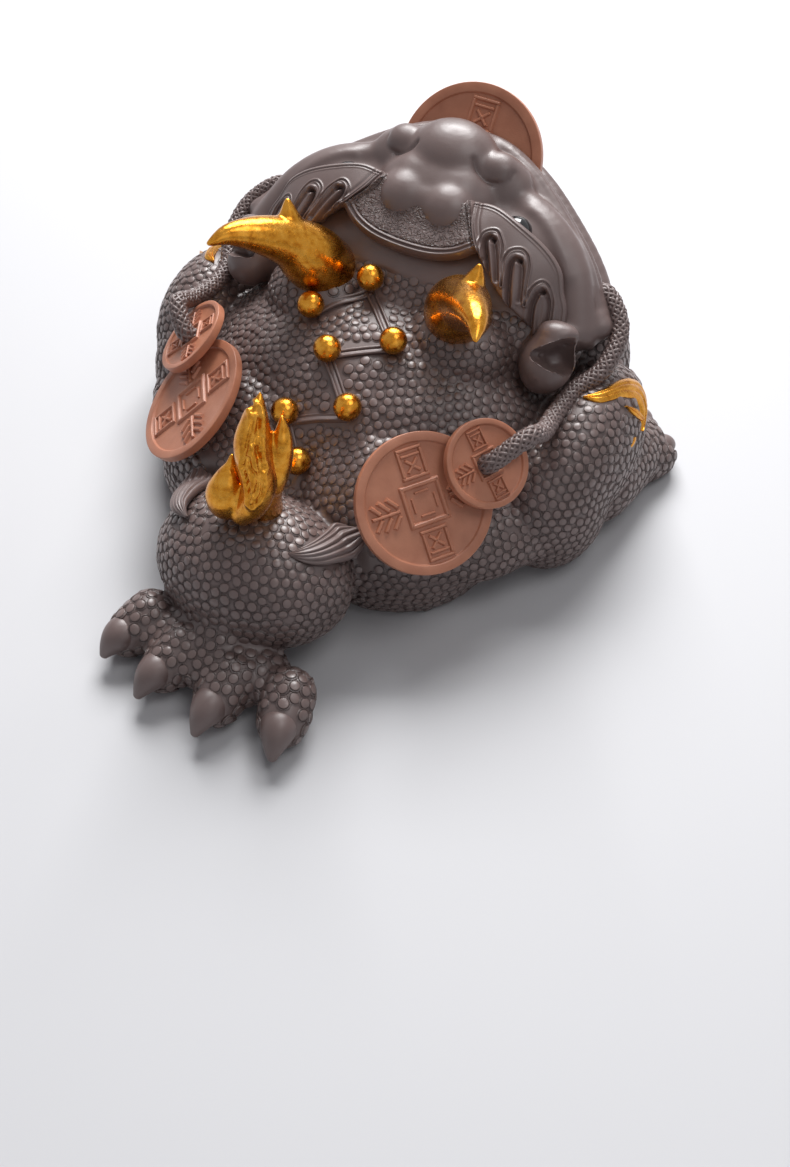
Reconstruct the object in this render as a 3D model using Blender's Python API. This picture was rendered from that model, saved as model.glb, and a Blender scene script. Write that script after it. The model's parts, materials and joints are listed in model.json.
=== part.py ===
"""Three-legged money toad tea pet, in metres, +Z up, head towards -Y, resting on Z = 0.

The clay body is one moulding. The horns, star beads, tail flame, eyes, coins and
ropes are formed apart and luted into seats, with one clearance all round.
"""

import functools
import math

import bmesh
import bpy
from mathutils import Matrix, Vector
from mathutils.bvhtree import BVHTree

MM = 0.001
CLEARANCE = 0.3 * MM

# The head is a set of forms in its own frame, pitched back to look at the sky.
HEAD_PITCH = math.radians(41)
HEAD_CENTRE = Vector((0, -50, 50)) * MM

SKIN_VOXEL = 0.9 * MM
SKIN_SMOOTHING = 5
BODY_FACES = 6800
SMALL_VOXEL = 0.6 * MM
HORN_FACES = 420
FLAME_FACES = 900

# Torso and limb forms: centre and radii in millimetres; a side form is mirrored.
TORSO_FORMS = (
    ((0, -16, 14), (61, 42, 19)),
    ((0, -30, 14), (54, 45, 37)),
    ((0, -50, 28), (43, 27, 26)),
    ((0, 35, 17), (25.5, 19, 18)),
    ((-1, 55, 6), (21, 10, 7.5)),
    ((55.5, -30, 17), (16.5, 20.5, 21)),
    ((-57.5, -29, 18.5), (17, 21.5, 22.5)),
)
SIDE_FORMS = (
    ((18, -2, 12), (30, 28, 27)),
    ((20, -33, 43), (15, 14, 12.5)),
)
FOREARM = ((58, -36, 12, 13), (62, -48, 9, 10), (64, -56, 7, 8))
SHIN = ((0, 42, 11, 13), (-1, 48, 8, 10), (-1, 54, 7, 8))

# Feet: toe root and claw tip in millimetres.
HIND_TOES = (
    ((18.5, 54, 7.5), (23.7, 67.5, 3)),
    ((6, 57.5, 7.5), (9.7, 73, 3)),
    ((-9, 59, 7.5), (-8, 75, 3)),
    ((-23, 57, 7.5), (-27, 74.5, 3)),
)
FORE_TOES = (
    ((56, -57, 6), (50, -68, 3)),
    ((62, -58, 6.5), (61, -71, 3)),
    ((67, -53, 6), (72, -64, 3)),
)
TOE_RADIUS = 6.4
CLAW_RADIUS = 3.8
CLAW_POINT = 0.7

# Head forms in the head's frame: across, forward and up, in millimetres.
HEAD_FORMS = (
    ((0, -2, -4), (49, 34, 17.5)),
    ((0, 0, -13), (46, 33, 16)),
    ((0, 27.5, 4.8), (12.5, 11, 10)),
    ((0, 16, 7), (17, 12, 8)),
    ((0, -4.5, 9), (19, 6.5, 7)),
)
HEAD_SIDE_FORMS = (
    ((5.8, 13.5, 11.2), (7.6, 7.6, 7.8)),
    ((12.6, 28.9, 8), (5.2, 5.2, 4.6)),
    ((43.5, -13.5, 7), (7.5, 8.5, 7)),
)

# Crest: half its outline in the head's plan, from the rim's middle round to the front.
CREST_OUTLINE = ((0, 0.4), (8, 1), (14, 3), (18.6, 6.4), (15.5, 12), (11.7, 17.6), (6, 20), (0, 20.5))
CREST_TOP = 18.0
CREST_FOOT = 11.0
CREST_RIM_RADIUS = 1.1

# Brow plate: outer and inner edge, section by section from the crest to the ear.
BROW_OUTER = (
    (11.7, 17.6, 14.3),
    (18.9, 18.2, 15),
    (26.7, 15.8, 15),
    (34.2, 12.7, 13),
    (39, 9, 11),
    (41.3, 4, 9),
    (43.1, 0.7, 7.5),
    (44, -3.4, 6.5),
)
BROW_INNER = (
    (18.6, 6.4, 18.4),
    (21, 4, 17.8),
    (25, 0, 16.8),
    (29.5, -3.6, 15.5),
    (32.5, -5, 13.5),
    (34.3, -5.9, 12),
    (36, -6.5, 10.5),
    (37.4, -8, 9),
)
BROW_THICKNESS = 6.0
BROW_CROWN = 0.9
CHEEK_FOLD = ((21, 23, 3, 4), (31.5, 17, 3, 5.5), (40, 9, 1, 6), (45.5, -3, -1, 6))
LIP = ((0, 36), (10, 35), (20, 30.5), (31, 22.5), (42, 12.5), (51, 0))
LIP_RADIUS = 3.0
UPPER_LIP_UP = -2.0
LOWER_LIP_UP = -11.0
LOWER_LIP_FORWARD = 1.5

EAR_TIP = ((44, -10, 8, 6), (46, -7, 8.5, 3.5), (47.6, -4.2, 9, 0.8))
EAR_HOLLOW = ((46.5, -10.5, 12.5), (6, 4.2, 5.5))

EYE_CENTRE = (24.3, 15.2, 9.6)
EYE_RADIUS = 4.8 * MM

# Horns: left side, in world millimetres, with the radius at each point.
HORN = (
    (19.5, -33.5, 53, 8.6),
    (21, -30, 58.5, 8.4),
    (24, -26.5, 64, 6.6),
    (29, -20, 69.5, 4.8),
    (33.5, -13.5, 72.5, 2.8),
    (36, -8, 72.5, 0.8),
)
HORN_BRANCH = ((24, -27, 64, 4.4), (25.5, -28, 69.5, 3.0), (26.5, -29, 75.2, 0.8))

# Hip tufts and knee flames: strands laid on the skin, in world millimetres.
RIGHT_TUFT = (
    ((-26, 20, 30), (-22, 28, 30), (-17, 34, 31), (-12.2, 36.8, 33)),
    ((-27, 20, 26), (-24, 30, 26), (-18, 36, 28), (-12.2, 36.8, 33)),
    ((-24, 18, 32), (-19, 25, 32), (-15, 31, 32), (-12.2, 36.8, 33)),
)
LEFT_TUFT = tuple(tuple((-x + 2, y + 2, z) for x, y, z in strand) for strand in RIGHT_TUFT)
TUFT_RADIUS = 2.2
KNEE_FLAME = (
    ((53.9, -37, 38), (58, -36, 41), (63, -35, 40), (67, -36, 35), (69, -38, 29)),
    ((60, -33, 39), (64, -33, 37), (67, -36, 33)),
)
KNEE_FLAME_RADIUS = 1.5

# The tail flame's tongues, in world millimetres, with the radius at each point.
FLAME = (
    ((0, 34, 36, 6.5), (2, 33, 46, 8), (1, 30, 56, 6), (0, 28, 63, 3.5), (0, 27, 69, 0.8)),
    ((5, 37, 39, 5), (7, 37, 43, 6), (8, 36, 48, 3), (8, 35, 53, 0.8)),
    ((-5, 33, 41, 4), (-7, 31, 49, 4.5), (-7, 29.5, 56, 3), (-8, 29, 61, 0.8)),
)

# Star beads: places on the back in plan, joined in this order by raised bars.
STARS = (
    (15.7, -21.5),
    (4.3, -33.9),
    (-8.3, -18.7),
    (4.4, -10.2),
    (-6, -0.4),
    (8, 4.9),
    (2.1, 12.1),
)
BEAD_RADIUS = 3.5 * MM
BEAD_SINK = 1.4 * MM
BAR_RADIUS = 1.2

# Coins laid on by hand: each side's centres, and the left side's outward directions.
LARGE_COIN_CENTRES = {"left": (33.8, 8.8, 34.7), "right": (-33.6, 11.1, 34.7)}
LARGE_COIN_FACING = (0.54, 0.40, 0.74)
LARGE_COIN_RADIUS = 17.0 * MM
SMALL_COIN_CENTRES = {"left": (43.4, -6.2, 40.2), "right": (-42.9, -2.8, 40.0)}
SMALL_COIN_FACING = (0.60, 0.30, 0.74)
SMALL_COIN_RADIUS = 10.8 * MM
MOUTH_COIN_CENTRE = (0, -77.7, 66.4)
MOUTH_COIN_PITCH = math.radians(52)
MOUTH_COIN_RADIUS = 20.4 * MM
COIN_THICKNESS = 2.2 * MM
COIN_RELIEF = 0.45 * MM
COIN_RIM = 0.11
COIN_SEGMENTS = 36
HOLE_SHARE = 0.27
LEAF_POINTS = 12

# Ropes: left side, in world millimetres, from the mouth corner to the small coin.
ROPE = (
    (43, -58, 51),
    (49, -59, 53),
    (55.5, -53, 48),
    (55.5, -43, 43),
    (51.5, -35, 40.5),
    (50.5, -26, 40),
    (51, -17, 42),
    (50, -10, 46),
)
ROPE_RADIUS = 2.5 * MM
ROPE_SIDES = 8

SIDES = (("left", 1), ("right", -1))


def clear_scene():
    for obj in list(bpy.data.objects):
        bpy.data.objects.remove(obj, do_unlink=True)


def head_axes():
    """The head's forward and up directions in the world."""
    forward = Vector((0, -math.cos(HEAD_PITCH), math.sin(HEAD_PITCH)))
    up = Vector((0, math.sin(HEAD_PITCH), math.cos(HEAD_PITCH)))
    return forward, up


def head(point):
    """World place, in metres, of a head-frame point in millimetres."""
    forward, up = head_axes()
    across, ahead, above = (value * MM for value in point[:3])
    return HEAD_CENTRE + Vector((across, 0, 0)) + forward * ahead + up * above


def head_turn():
    forward, up = head_axes()
    return Matrix(((1, 0, 0), (0, forward.y, up.y), (0, forward.z, up.z)))


def mirrored(point, side):
    return (point[0] * side, *point[1:])


def world(point):
    return Vector(point[:3]) * MM


def facing(direction):
    """Turn that takes +Z to the direction."""
    return Vector(direction).to_track_quat("Z", "Y").to_matrix()


def through(points, steps):
    """A Catmull-Rom run through the points, each a tuple of any width up to four."""
    rows = [Vector(point) for point in points]
    rows = [2 * rows[0] - rows[1], *rows, 2 * rows[-1] - rows[-2]]
    run = []
    for before, here, there, after in zip(rows, rows[1:], rows[2:], rows[3:]):
        for step in range(steps):
            t = step / steps
            bend = 2 * before - 5 * here + 4 * there - after
            twist = 3 * here - before - 3 * there + after
            run.append(0.5 * (2 * here + t * (there - before) + t * t * bend + t**3 * twist))
    return [*run, rows[-2]]


@functools.lru_cache
def unit_ball(segments, rings):
    """Points and faces of a ball of radius 1, made once for each density."""
    bm = bmesh.new()
    bmesh.ops.create_uvsphere(bm, u_segments=segments, v_segments=rings, radius=1)
    points = [vert.co.copy() for vert in bm.verts]
    faces = [[vert.index for vert in face.verts] for face in bm.faces]
    bm.free()
    return points, faces


def add_ball(bm, centre, radii, turn=None, segments=20, rings=12):
    """Copies a ball into the mesh: the built-in sphere gets slow in a mesh of hundreds."""
    turned = (turn or Matrix.Identity(3)).to_4x4()
    place = Matrix.Translation(centre) @ turned @ Matrix.Diagonal((*radii, 1))
    points, faces = unit_ball(segments, rings)
    made = [bm.verts.new(place @ point) for point in points]
    order = 1 if place.determinant() > 0 else -1
    for face in faces:
        bm.faces.new([made[index] for index in face[::order]])


def add_limb(bm, stations, place=world, turn=None, flatness=1.0, steps=4):
    """Balls along a smooth run of stations, each x, y, z and radius in millimetres."""
    for x, y, z, radius in through(stations, steps):
        radius = max(radius, 0.3) * MM
        add_ball(bm, place((x, y, z)), (radius, radius, radius * flatness), turn, 16, 10)


def add_forms(bm, forms, place, turn=None):
    for centre, radii in forms:
        add_ball(bm, place(centre), [radius * MM for radius in radii], turn, 32, 20)


def add_torso(bm):
    add_forms(bm, TORSO_FORMS, world)
    for _, side in SIDES:
        add_forms(bm, [(mirrored(centre, side), radii) for centre, radii in SIDE_FORMS], world)


def add_toe(bm, root, tip):
    """A toe with a swollen pad, ending in a tapered claw."""
    root, tip = Vector(root), Vector(tip)
    knuckle = root.lerp(tip, 0.38)
    nail = root.lerp(tip, 0.62) + Vector((0, 0, 1.2))
    add_limb(bm, ((*root, TOE_RADIUS), (*knuckle, TOE_RADIUS * 0.95), (*nail, CLAW_RADIUS)))
    add_limb(bm, ((*nail, CLAW_RADIUS), (*nail.lerp(tip, 0.5), CLAW_RADIUS * 0.72), (*tip, CLAW_POINT)))


def add_legs(bm):
    add_limb(bm, SHIN)
    for _, side in SIDES:
        add_limb(bm, [mirrored(station, side) for station in FOREARM])
        for root, tip in FORE_TOES:
            add_toe(bm, mirrored(root, side), mirrored(tip, side))
    for root, tip in HIND_TOES:
        add_toe(bm, root, tip)


def lip_run(side, up, ahead):
    return [(x * side, y + ahead, up, LIP_RADIUS) for x, y in LIP]


def add_loft(bm, rings, place):
    """A closed solid through rings of the same number of points, with flat ends."""
    loops = [[bm.verts.new(place(point)) for point in ring] for ring in rings]
    count = len(loops[0])
    for near, far in zip(loops, loops[1:]):
        for i in range(count):
            j = (i + 1) % count
            bm.faces.new((near[i], near[j], far[j], far[i]))
    bm.faces.new(reversed(loops[0]))
    bm.faces.new(loops[-1])


def add_crest(bm):
    """The fan-shaped plate over the brow and the raised rim along its back edge."""
    half = CREST_OUTLINE[1:-1]
    outline = [*CREST_OUTLINE, *(mirrored(point, -1) for point in reversed(half))]
    add_loft(bm, [[(x, y, up) for x, y in outline] for up in (CREST_FOOT, CREST_TOP)], head)
    for _, side in SIDES:
        rim = [(x * side, y, CREST_TOP, CREST_RIM_RADIUS) for x, y in CREST_OUTLINE[:4]]
        add_limb(bm, rim, head)


def add_brow(bm, side):
    """The plate over the eye: crowned on top, with a clean outer edge that overhangs."""
    rings = []
    for outer, inner in zip(BROW_OUTER, BROW_INNER):
        outer, inner = Vector(mirrored(outer, side)), Vector(mirrored(inner, side))
        ring = [outer]
        for share in (0.25, 0.5, 0.75):
            crown = BROW_CROWN * 4 * share * (1 - share)
            ring.append(outer.lerp(inner, share) + Vector((0, 0, crown)))
        ring.append(inner)
        ring += [inner - Vector((0, 0, BROW_THICKNESS)), outer - Vector((0, 0, BROW_THICKNESS))]
        rings.append(ring)
    add_loft(bm, rings, head)


def add_head(bm):
    turn = head_turn()
    add_forms(bm, HEAD_FORMS, head, turn)
    add_crest(bm)
    for _, side in SIDES:
        forms = [(mirrored(centre, side), radii) for centre, radii in HEAD_SIDE_FORMS]
        add_forms(bm, forms, head, turn)
        add_brow(bm, side)
        add_limb(bm, [mirrored(station, side) for station in CHEEK_FOLD], head, turn)
        add_limb(bm, [mirrored(station, side) for station in EAR_TIP], head, turn)
        add_limb(bm, lip_run(side, UPPER_LIP_UP, 0), head, turn)
        add_limb(bm, lip_run(side, LOWER_LIP_UP, LOWER_LIP_FORWARD), head, turn)


def material(name, colour, roughness, metallic=0.0):
    made = bpy.data.materials.get(name) or bpy.data.materials.new(name)
    made.use_nodes = True
    shader = made.node_tree.nodes["Principled BSDF"]
    shader.inputs["Base Color"].default_value = (*colour, 1)
    shader.inputs["Roughness"].default_value = roughness
    shader.inputs["Metallic"].default_value = metallic
    return made


def purple_clay():
    return material("purple_clay", (0.115, 0.085, 0.082), 0.5)


def gilding():
    return material("gilding", (0.83, 0.48, 0.08), 0.28, 1.0)


def red_clay():
    return material("red_clay", (0.45, 0.2, 0.13), 0.55)


def black_glaze():
    return material("black_glaze", (0.01, 0.01, 0.012), 0.12)


def object_from(name, bm, finish=None):
    mesh = bpy.data.meshes.new(name)
    bm.to_mesh(mesh)
    bm.free()
    obj = bpy.data.objects.new(name, mesh)
    bpy.context.scene.collection.objects.link(obj)
    if finish:
        mesh.materials.append(finish)
    mesh.shade_smooth()
    return obj


def evaluated_bmesh(obj):
    """The object's shape with its modifiers, in world space."""
    bpy.context.view_layer.update()
    graph = bpy.context.evaluated_depsgraph_get()
    bm = bmesh.new()
    bm.from_object(obj, graph)
    bm.transform(obj.matrix_world)
    bm.normal_update()
    return bm


def settle(obj):
    """Applies the object's modifiers, so that its mesh holds the finished shape."""
    bm = evaluated_bmesh(obj)
    obj.modifiers.clear()
    obj.matrix_world = Matrix.Identity(4)
    bm.to_mesh(obj.data)
    bm.free()
    obj.data.shade_smooth()
    return obj


def fuse(obj, voxel, smoothing, faces):
    """Makes one closed skin of overlapping forms, thinned to about this many triangles."""
    skin = obj.modifiers.new("one_skin", "REMESH")
    skin.mode = "VOXEL"
    skin.voxel_size = voxel
    soft = obj.modifiers.new("soften", "SMOOTH")
    soft.factor = 0.5
    soft.iterations = smoothing
    bm = evaluated_bmesh(obj)
    triangles = sum(len(face.verts) - 2 for face in bm.faces)
    bm.free()
    thin = obj.modifiers.new("thin", "DECIMATE")
    thin.ratio = min(1.0, faces / triangles)
    return settle(obj)


def as_cutter(obj, seats):
    obj.hide_render = True
    obj.display_type = "WIRE"
    bpy.context.scene.collection.objects.unlink(obj)
    seats.objects.link(obj)


def seat_for(obj, seats):
    """A cutter that is the piece with the clearance added all round."""
    bm = evaluated_bmesh(obj)
    for vert in bm.verts:
        vert.co += vert.normal * CLEARANCE * 1.25
    as_cutter(object_from(obj.name + "_seat", bm), seats)


def cut(obj, seats):
    seat = obj.modifiers.new("seats", "BOOLEAN")
    seat.operation = "DIFFERENCE"
    seat.solver = "EXACT"
    seat.operand_type = "COLLECTION"
    seat.collection = seats
    return seat


def on_skin(tree, point):
    """Nearest place on the skin and its outward direction."""
    place, normal, _, _ = tree.find_nearest(point)
    return place, normal


def above_skin(tree, x, y):
    place, normal, _, _ = tree.ray_cast(Vector((x * MM, y * MM, 1)), Vector((0, 0, -1)))
    return place, normal


def add_strands(bm, tree, strands, radius):
    """Tapered strands that lie half sunk in the skin."""
    for strand in strands:
        run = through(strand, 6)
        for i, point in enumerate(run):
            place, _ = on_skin(tree, world(point))
            width = radius * MM * (1 - 0.75 * (i / (len(run) - 1)) ** 2)
            add_ball(bm, place, [width] * 3, None, 10, 6)


def add_skin_relief(bm, tree):
    """The raised forms that follow the skin: star bars, hip tufts and knee flames."""
    add_star_bars(bm, tree)
    add_strands(bm, tree, RIGHT_TUFT + LEFT_TUFT, TUFT_RADIUS)
    for _, side in SIDES:
        flames = [[mirrored(point, side) for point in strand] for strand in KNEE_FLAME]
        add_strands(bm, tree, flames, KNEE_FLAME_RADIUS)


def add_star_bars(bm, tree):
    """Low raised bars on the back, from each star to the next."""
    for (x0, y0), (x1, y1) in zip(STARS, STARS[1:]):
        steps = 9
        for step in range(steps + 1):
            t = step / steps
            place, _ = above_skin(tree, x0 + t * (x1 - x0), y0 + t * (y1 - y0))
            add_ball(bm, place, [BAR_RADIUS * MM] * 3, None, 10, 6)


def make_body():
    bm = bmesh.new()
    add_torso(bm)
    add_legs(bm)
    add_head(bm)
    body = object_from("toad_body", bm, purple_clay())
    skin = body.modifiers.new("one_skin", "REMESH")
    skin.mode = "VOXEL"
    skin.voxel_size = SKIN_VOXEL * 2
    smooth_skin = evaluated_bmesh(body)
    tree = BVHTree.FromBMesh(smooth_skin)
    smooth_skin.free()
    body.modifiers.clear()
    bm = bmesh.new()
    bm.from_mesh(body.data)
    add_skin_relief(bm, tree)
    bm.to_mesh(body.data)
    bm.free()
    body.data.shade_smooth()
    fuse(body, SKIN_VOXEL, SKIN_SMOOTHING, BODY_FACES)
    return body


def make_horn(name, side, seats):
    bm = bmesh.new()
    add_limb(bm, [mirrored(station, side) for station in HORN], steps=6)
    add_limb(bm, [mirrored(station, side) for station in HORN_BRANCH], steps=6)
    horn = fuse(object_from(name + "_horn", bm, gilding()), SMALL_VOXEL, 3, HORN_FACES)
    seat_for(horn, seats)


def make_flame(seats):
    bm = bmesh.new()
    for tongue in FLAME:
        add_limb(bm, tongue, steps=6)
    flame = fuse(object_from("tail_flame", bm, gilding()), SMALL_VOXEL, 3, FLAME_FACES)
    seat_for(flame, seats)


def make_beads(tree, seats):
    for number, (x, y) in enumerate(STARS, start=1):
        place, normal = above_skin(tree, x, y)
        centre = place + normal * (BEAD_RADIUS - BEAD_SINK)
        bm = bmesh.new()
        add_ball(bm, centre, [BEAD_RADIUS] * 3, facing(normal), 16, 10)
        seat_for(object_from(f"star_bead_{number}", bm, gilding()), seats)


def make_eye(name, side, seats):
    bm = bmesh.new()
    add_ball(bm, head(mirrored(EYE_CENTRE, side)), [EYE_RADIUS] * 3, head_turn(), 16, 10)
    seat_for(object_from(name + "_eye", bm, black_glaze()), seats)


def disc(bm, radius, low, high, segments=COIN_SEGMENTS):
    """A closed disc about Z between two heights."""
    place = Matrix.Translation((0, 0, (low + high) / 2))
    bmesh.ops.create_cone(
        bm,
        cap_ends=True,
        segments=segments,
        radius1=radius,
        radius2=radius,
        depth=high - low,
        matrix=place,
    )


def coin_blank(radius):
    """A disc with a raised rim on each face, by joining rings of points."""
    half = COIN_THICKNESS / 2
    field = half - COIN_RELIEF
    rim = radius * (1 - COIN_RIM)
    rings = ((rim - COIN_RELIEF, field), (rim, half), (radius - COIN_RELIEF, half), (radius, field))
    rings += tuple((across, -up) for across, up in reversed(rings))
    bm = bmesh.new()
    loops = []
    for across, up in rings:
        turns = [2 * math.pi * step / COIN_SEGMENTS for step in range(COIN_SEGMENTS)]
        loops.append([bm.verts.new((across * math.cos(a), across * math.sin(a), up)) for a in turns])
    for upper, lower in zip(loops, loops[1:]):
        for i in range(COIN_SEGMENTS):
            j = (i + 1) % COIN_SEGMENTS
            bm.faces.new((upper[i], lower[i], lower[j], upper[j]))
    bm.faces.new(loops[0])
    bm.faces.new(reversed(loops[-1]))
    bmesh.ops.recalc_face_normals(bm, faces=bm.faces)
    return bm


def add_slab(bm, outline, low, high):
    """A prism over a closed outline of points in plan."""
    bottom = [bm.verts.new((x, y, low)) for x, y in outline]
    top = [bm.verts.new((x, y, high)) for x, y in outline]
    bm.faces.new(reversed(bottom))
    bm.faces.new(top)
    for i in range(len(outline)):
        j = (i + 1) % len(outline)
        bm.faces.new((bottom[i], bottom[j], top[j], top[i]))


def square(half):
    return ((-half, -half), (half, -half), (half, half), (-half, half))


def leaf(radius, middle, angle):
    """A plain four-lobed mark on the coin's field."""
    points = []
    for step in range(LEAF_POINTS):
        turn = 2 * math.pi * step / LEAF_POINTS
        reach = radius * (0.125 + 0.045 * math.cos(4 * turn))
        x = middle + reach * math.cos(turn)
        y = reach * 1.25 * math.sin(turn)
        across = x * math.cos(angle) - y * math.sin(angle)
        along = x * math.sin(angle) + y * math.cos(angle)
        points.append((across, along))
    return points


def make_coin(name, radius, centre, turn, pierced, faces, seats):
    """A cast coin with a square hole or blind square, a frame round it and four marks."""
    half = COIN_THICKNESS / 2
    sunk = half - 2 * COIN_RELIEF
    place = Matrix.Translation(centre) @ turn.to_4x4()
    coin = object_from(name, coin_blank(radius), red_clay())
    coin.matrix_world = place
    relief = bmesh.new()
    for sign in faces:
        low, high = sorted((sign * sunk, sign * (half - 0.1 * COIN_RELIEF)))
        add_slab(relief, square(radius * (HOLE_SHARE + 0.07)), low, high)
        for quarter in range(4):
            add_slab(relief, leaf(radius, radius * 0.6, quarter * math.pi / 2), low, high)
    hole = bmesh.new()
    if pierced:
        add_slab(hole, square(radius * HOLE_SHARE), -COIN_THICKNESS, COIN_THICKNESS)
    else:
        for sign in faces:
            low, high = sorted((sign * sunk, sign * COIN_THICKNESS))
            add_slab(hole, square(radius * HOLE_SHARE), low, high)
    for kind, shape, operation in (("relief", relief, "UNION"), ("hole", hole, "DIFFERENCE")):
        tool = object_from(f"{name}_{kind}", shape)
        tool.matrix_world = place
        tool.hide_render = True
        tool.display_type = "WIRE"
        modifier = coin.modifiers.new(kind, "BOOLEAN")
        modifier.operation = operation
        modifier.solver = "EXACT"
        modifier.object = tool
    settle(coin)
    for kind in ("relief", "hole"):
        bpy.data.objects.remove(bpy.data.objects[f"{name}_{kind}"])
    pocket = bmesh.new()
    disc(pocket, radius + CLEARANCE, -half - CLEARANCE, half + CLEARANCE)
    seat = object_from(name + "_seat", pocket)
    seat.matrix_world = place
    as_cutter(seat, seats)
    return coin


def make_coins(seats):
    for name, side in SIDES:
        for size, radius, centres, direction, pierced in (
            ("large", LARGE_COIN_RADIUS, LARGE_COIN_CENTRES, LARGE_COIN_FACING, False),
            ("small", SMALL_COIN_RADIUS, SMALL_COIN_CENTRES, SMALL_COIN_FACING, True),
        ):
            turn = facing(mirrored(direction, side))
            make_coin(f"{name}_{size}_coin", radius, world(centres[name]), turn, pierced, (1,), seats)
    turn = Matrix.Rotation(-MOUTH_COIN_PITCH, 3, "X")
    make_coin("mouth_coin", MOUTH_COIN_RADIUS, world(MOUTH_COIN_CENTRE), turn, False, (1, -1), seats)


def tube(name, run, radius, sides, finish=None):
    """A closed round tube along the run of points."""
    bm = bmesh.new()
    loops = []
    across = Vector((0, 0, 1))
    for i, point in enumerate(run):
        along = (run[min(i + 1, len(run) - 1)] - run[max(i - 1, 0)]).normalized()
        across = (across - along * across.dot(along)).normalized()
        other = along.cross(across)
        turns = [2 * math.pi * step / sides for step in range(sides)]
        loops.append(
            [bm.verts.new(point + radius * (across * math.cos(a) + other * math.sin(a))) for a in turns]
        )
    for lower, upper in zip(loops, loops[1:]):
        for i in range(sides):
            j = (i + 1) % sides
            bm.faces.new((lower[i], lower[j], upper[j], upper[i]))
    bm.faces.new(reversed(loops[0]))
    bm.faces.new(loops[-1])
    bmesh.ops.recalc_face_normals(bm, faces=bm.faces)
    return object_from(name, bm, finish)


def make_rope(name, side, seats):
    """From the mouth corner over the shoulder and down through the small coin's hole."""
    normal = Vector(mirrored(SMALL_COIN_FACING, side)).normalized()
    centre = world(SMALL_COIN_CENTRES[name])
    points = [world(mirrored(point, side)) for point in ROPE]
    points += [centre + normal * 3.2 * MM, centre - normal * COIN_THICKNESS / 2]
    run = through(points, 3)
    tube(name + "_rope", run, ROPE_RADIUS, ROPE_SIDES, purple_clay())
    wider = [run[0] + (run[0] - run[1]).normalized() * CLEARANCE, *run[1:]]
    groove = tube(name + "_rope_seat", wider, ROPE_RADIUS + CLEARANCE * 1.2, ROPE_SIDES)
    as_cutter(groove, seats)


def cut_features(seats):
    """The floor plane, the mouth, the nostrils and the hollows of the ears."""
    floor = bmesh.new()
    reach = 200 * MM
    bmesh.ops.create_cube(floor, size=2 * reach, matrix=Matrix.Translation((0, 0, -reach)))
    as_cutter(object_from("floor_cut", floor), seats)
    mouth = bmesh.new()
    add_ball(mouth, head((0, 36, -6.6)), Vector((23, 12, 4)) * MM, head_turn(), 24, 12)
    as_cutter(object_from("mouth_cut", mouth), seats)
    for name, side in SIDES:
        hollow = bmesh.new()
        add_ball(hollow, head((12.5 * side, 33.5, 6)), Vector((2, 3, 1.8)) * MM, head_turn(), 10, 8)
        as_cutter(object_from(name + "_nostril_cut", hollow), seats)
        bowl = bmesh.new()
        centre, radii = EAR_HOLLOW
        add_ball(bowl, head(mirrored(centre, side)), Vector(radii) * MM, head_turn(), 14, 8)
        as_cutter(object_from(name + "_ear_cut", bowl), seats)


def build():
    clear_scene()
    seats = bpy.data.collections.new("seats")
    bpy.context.scene.collection.children.link(seats)
    body = make_body()
    skin = evaluated_bmesh(body)
    tree = BVHTree.FromBMesh(skin)
    skin.free()
    make_beads(tree, seats)
    make_flame(seats)
    for name, side in SIDES:
        make_horn(name, side, seats)
        make_eye(name, side, seats)
    make_coins(seats)
    for name, side in SIDES:
        make_rope(name, side, seats)
    cut_features(seats)
    cut(body, seats)


build()
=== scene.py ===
# %% [markdown]
# # A three-legged toad tea pet in burnished clay
# A tea pet is a small figure of unglazed stoneware that sits on a tea tray. This lesson starts from
# the solid model and models every piece again with the detail that shows in a close view.
# The real one is press-moulded, carved while leather hard, then gilded and fitted with red coins.

import json
import math

import bpy
import numpy as np
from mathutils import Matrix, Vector, kdtree
from mathutils.bvhtree import BVHTree

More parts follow.
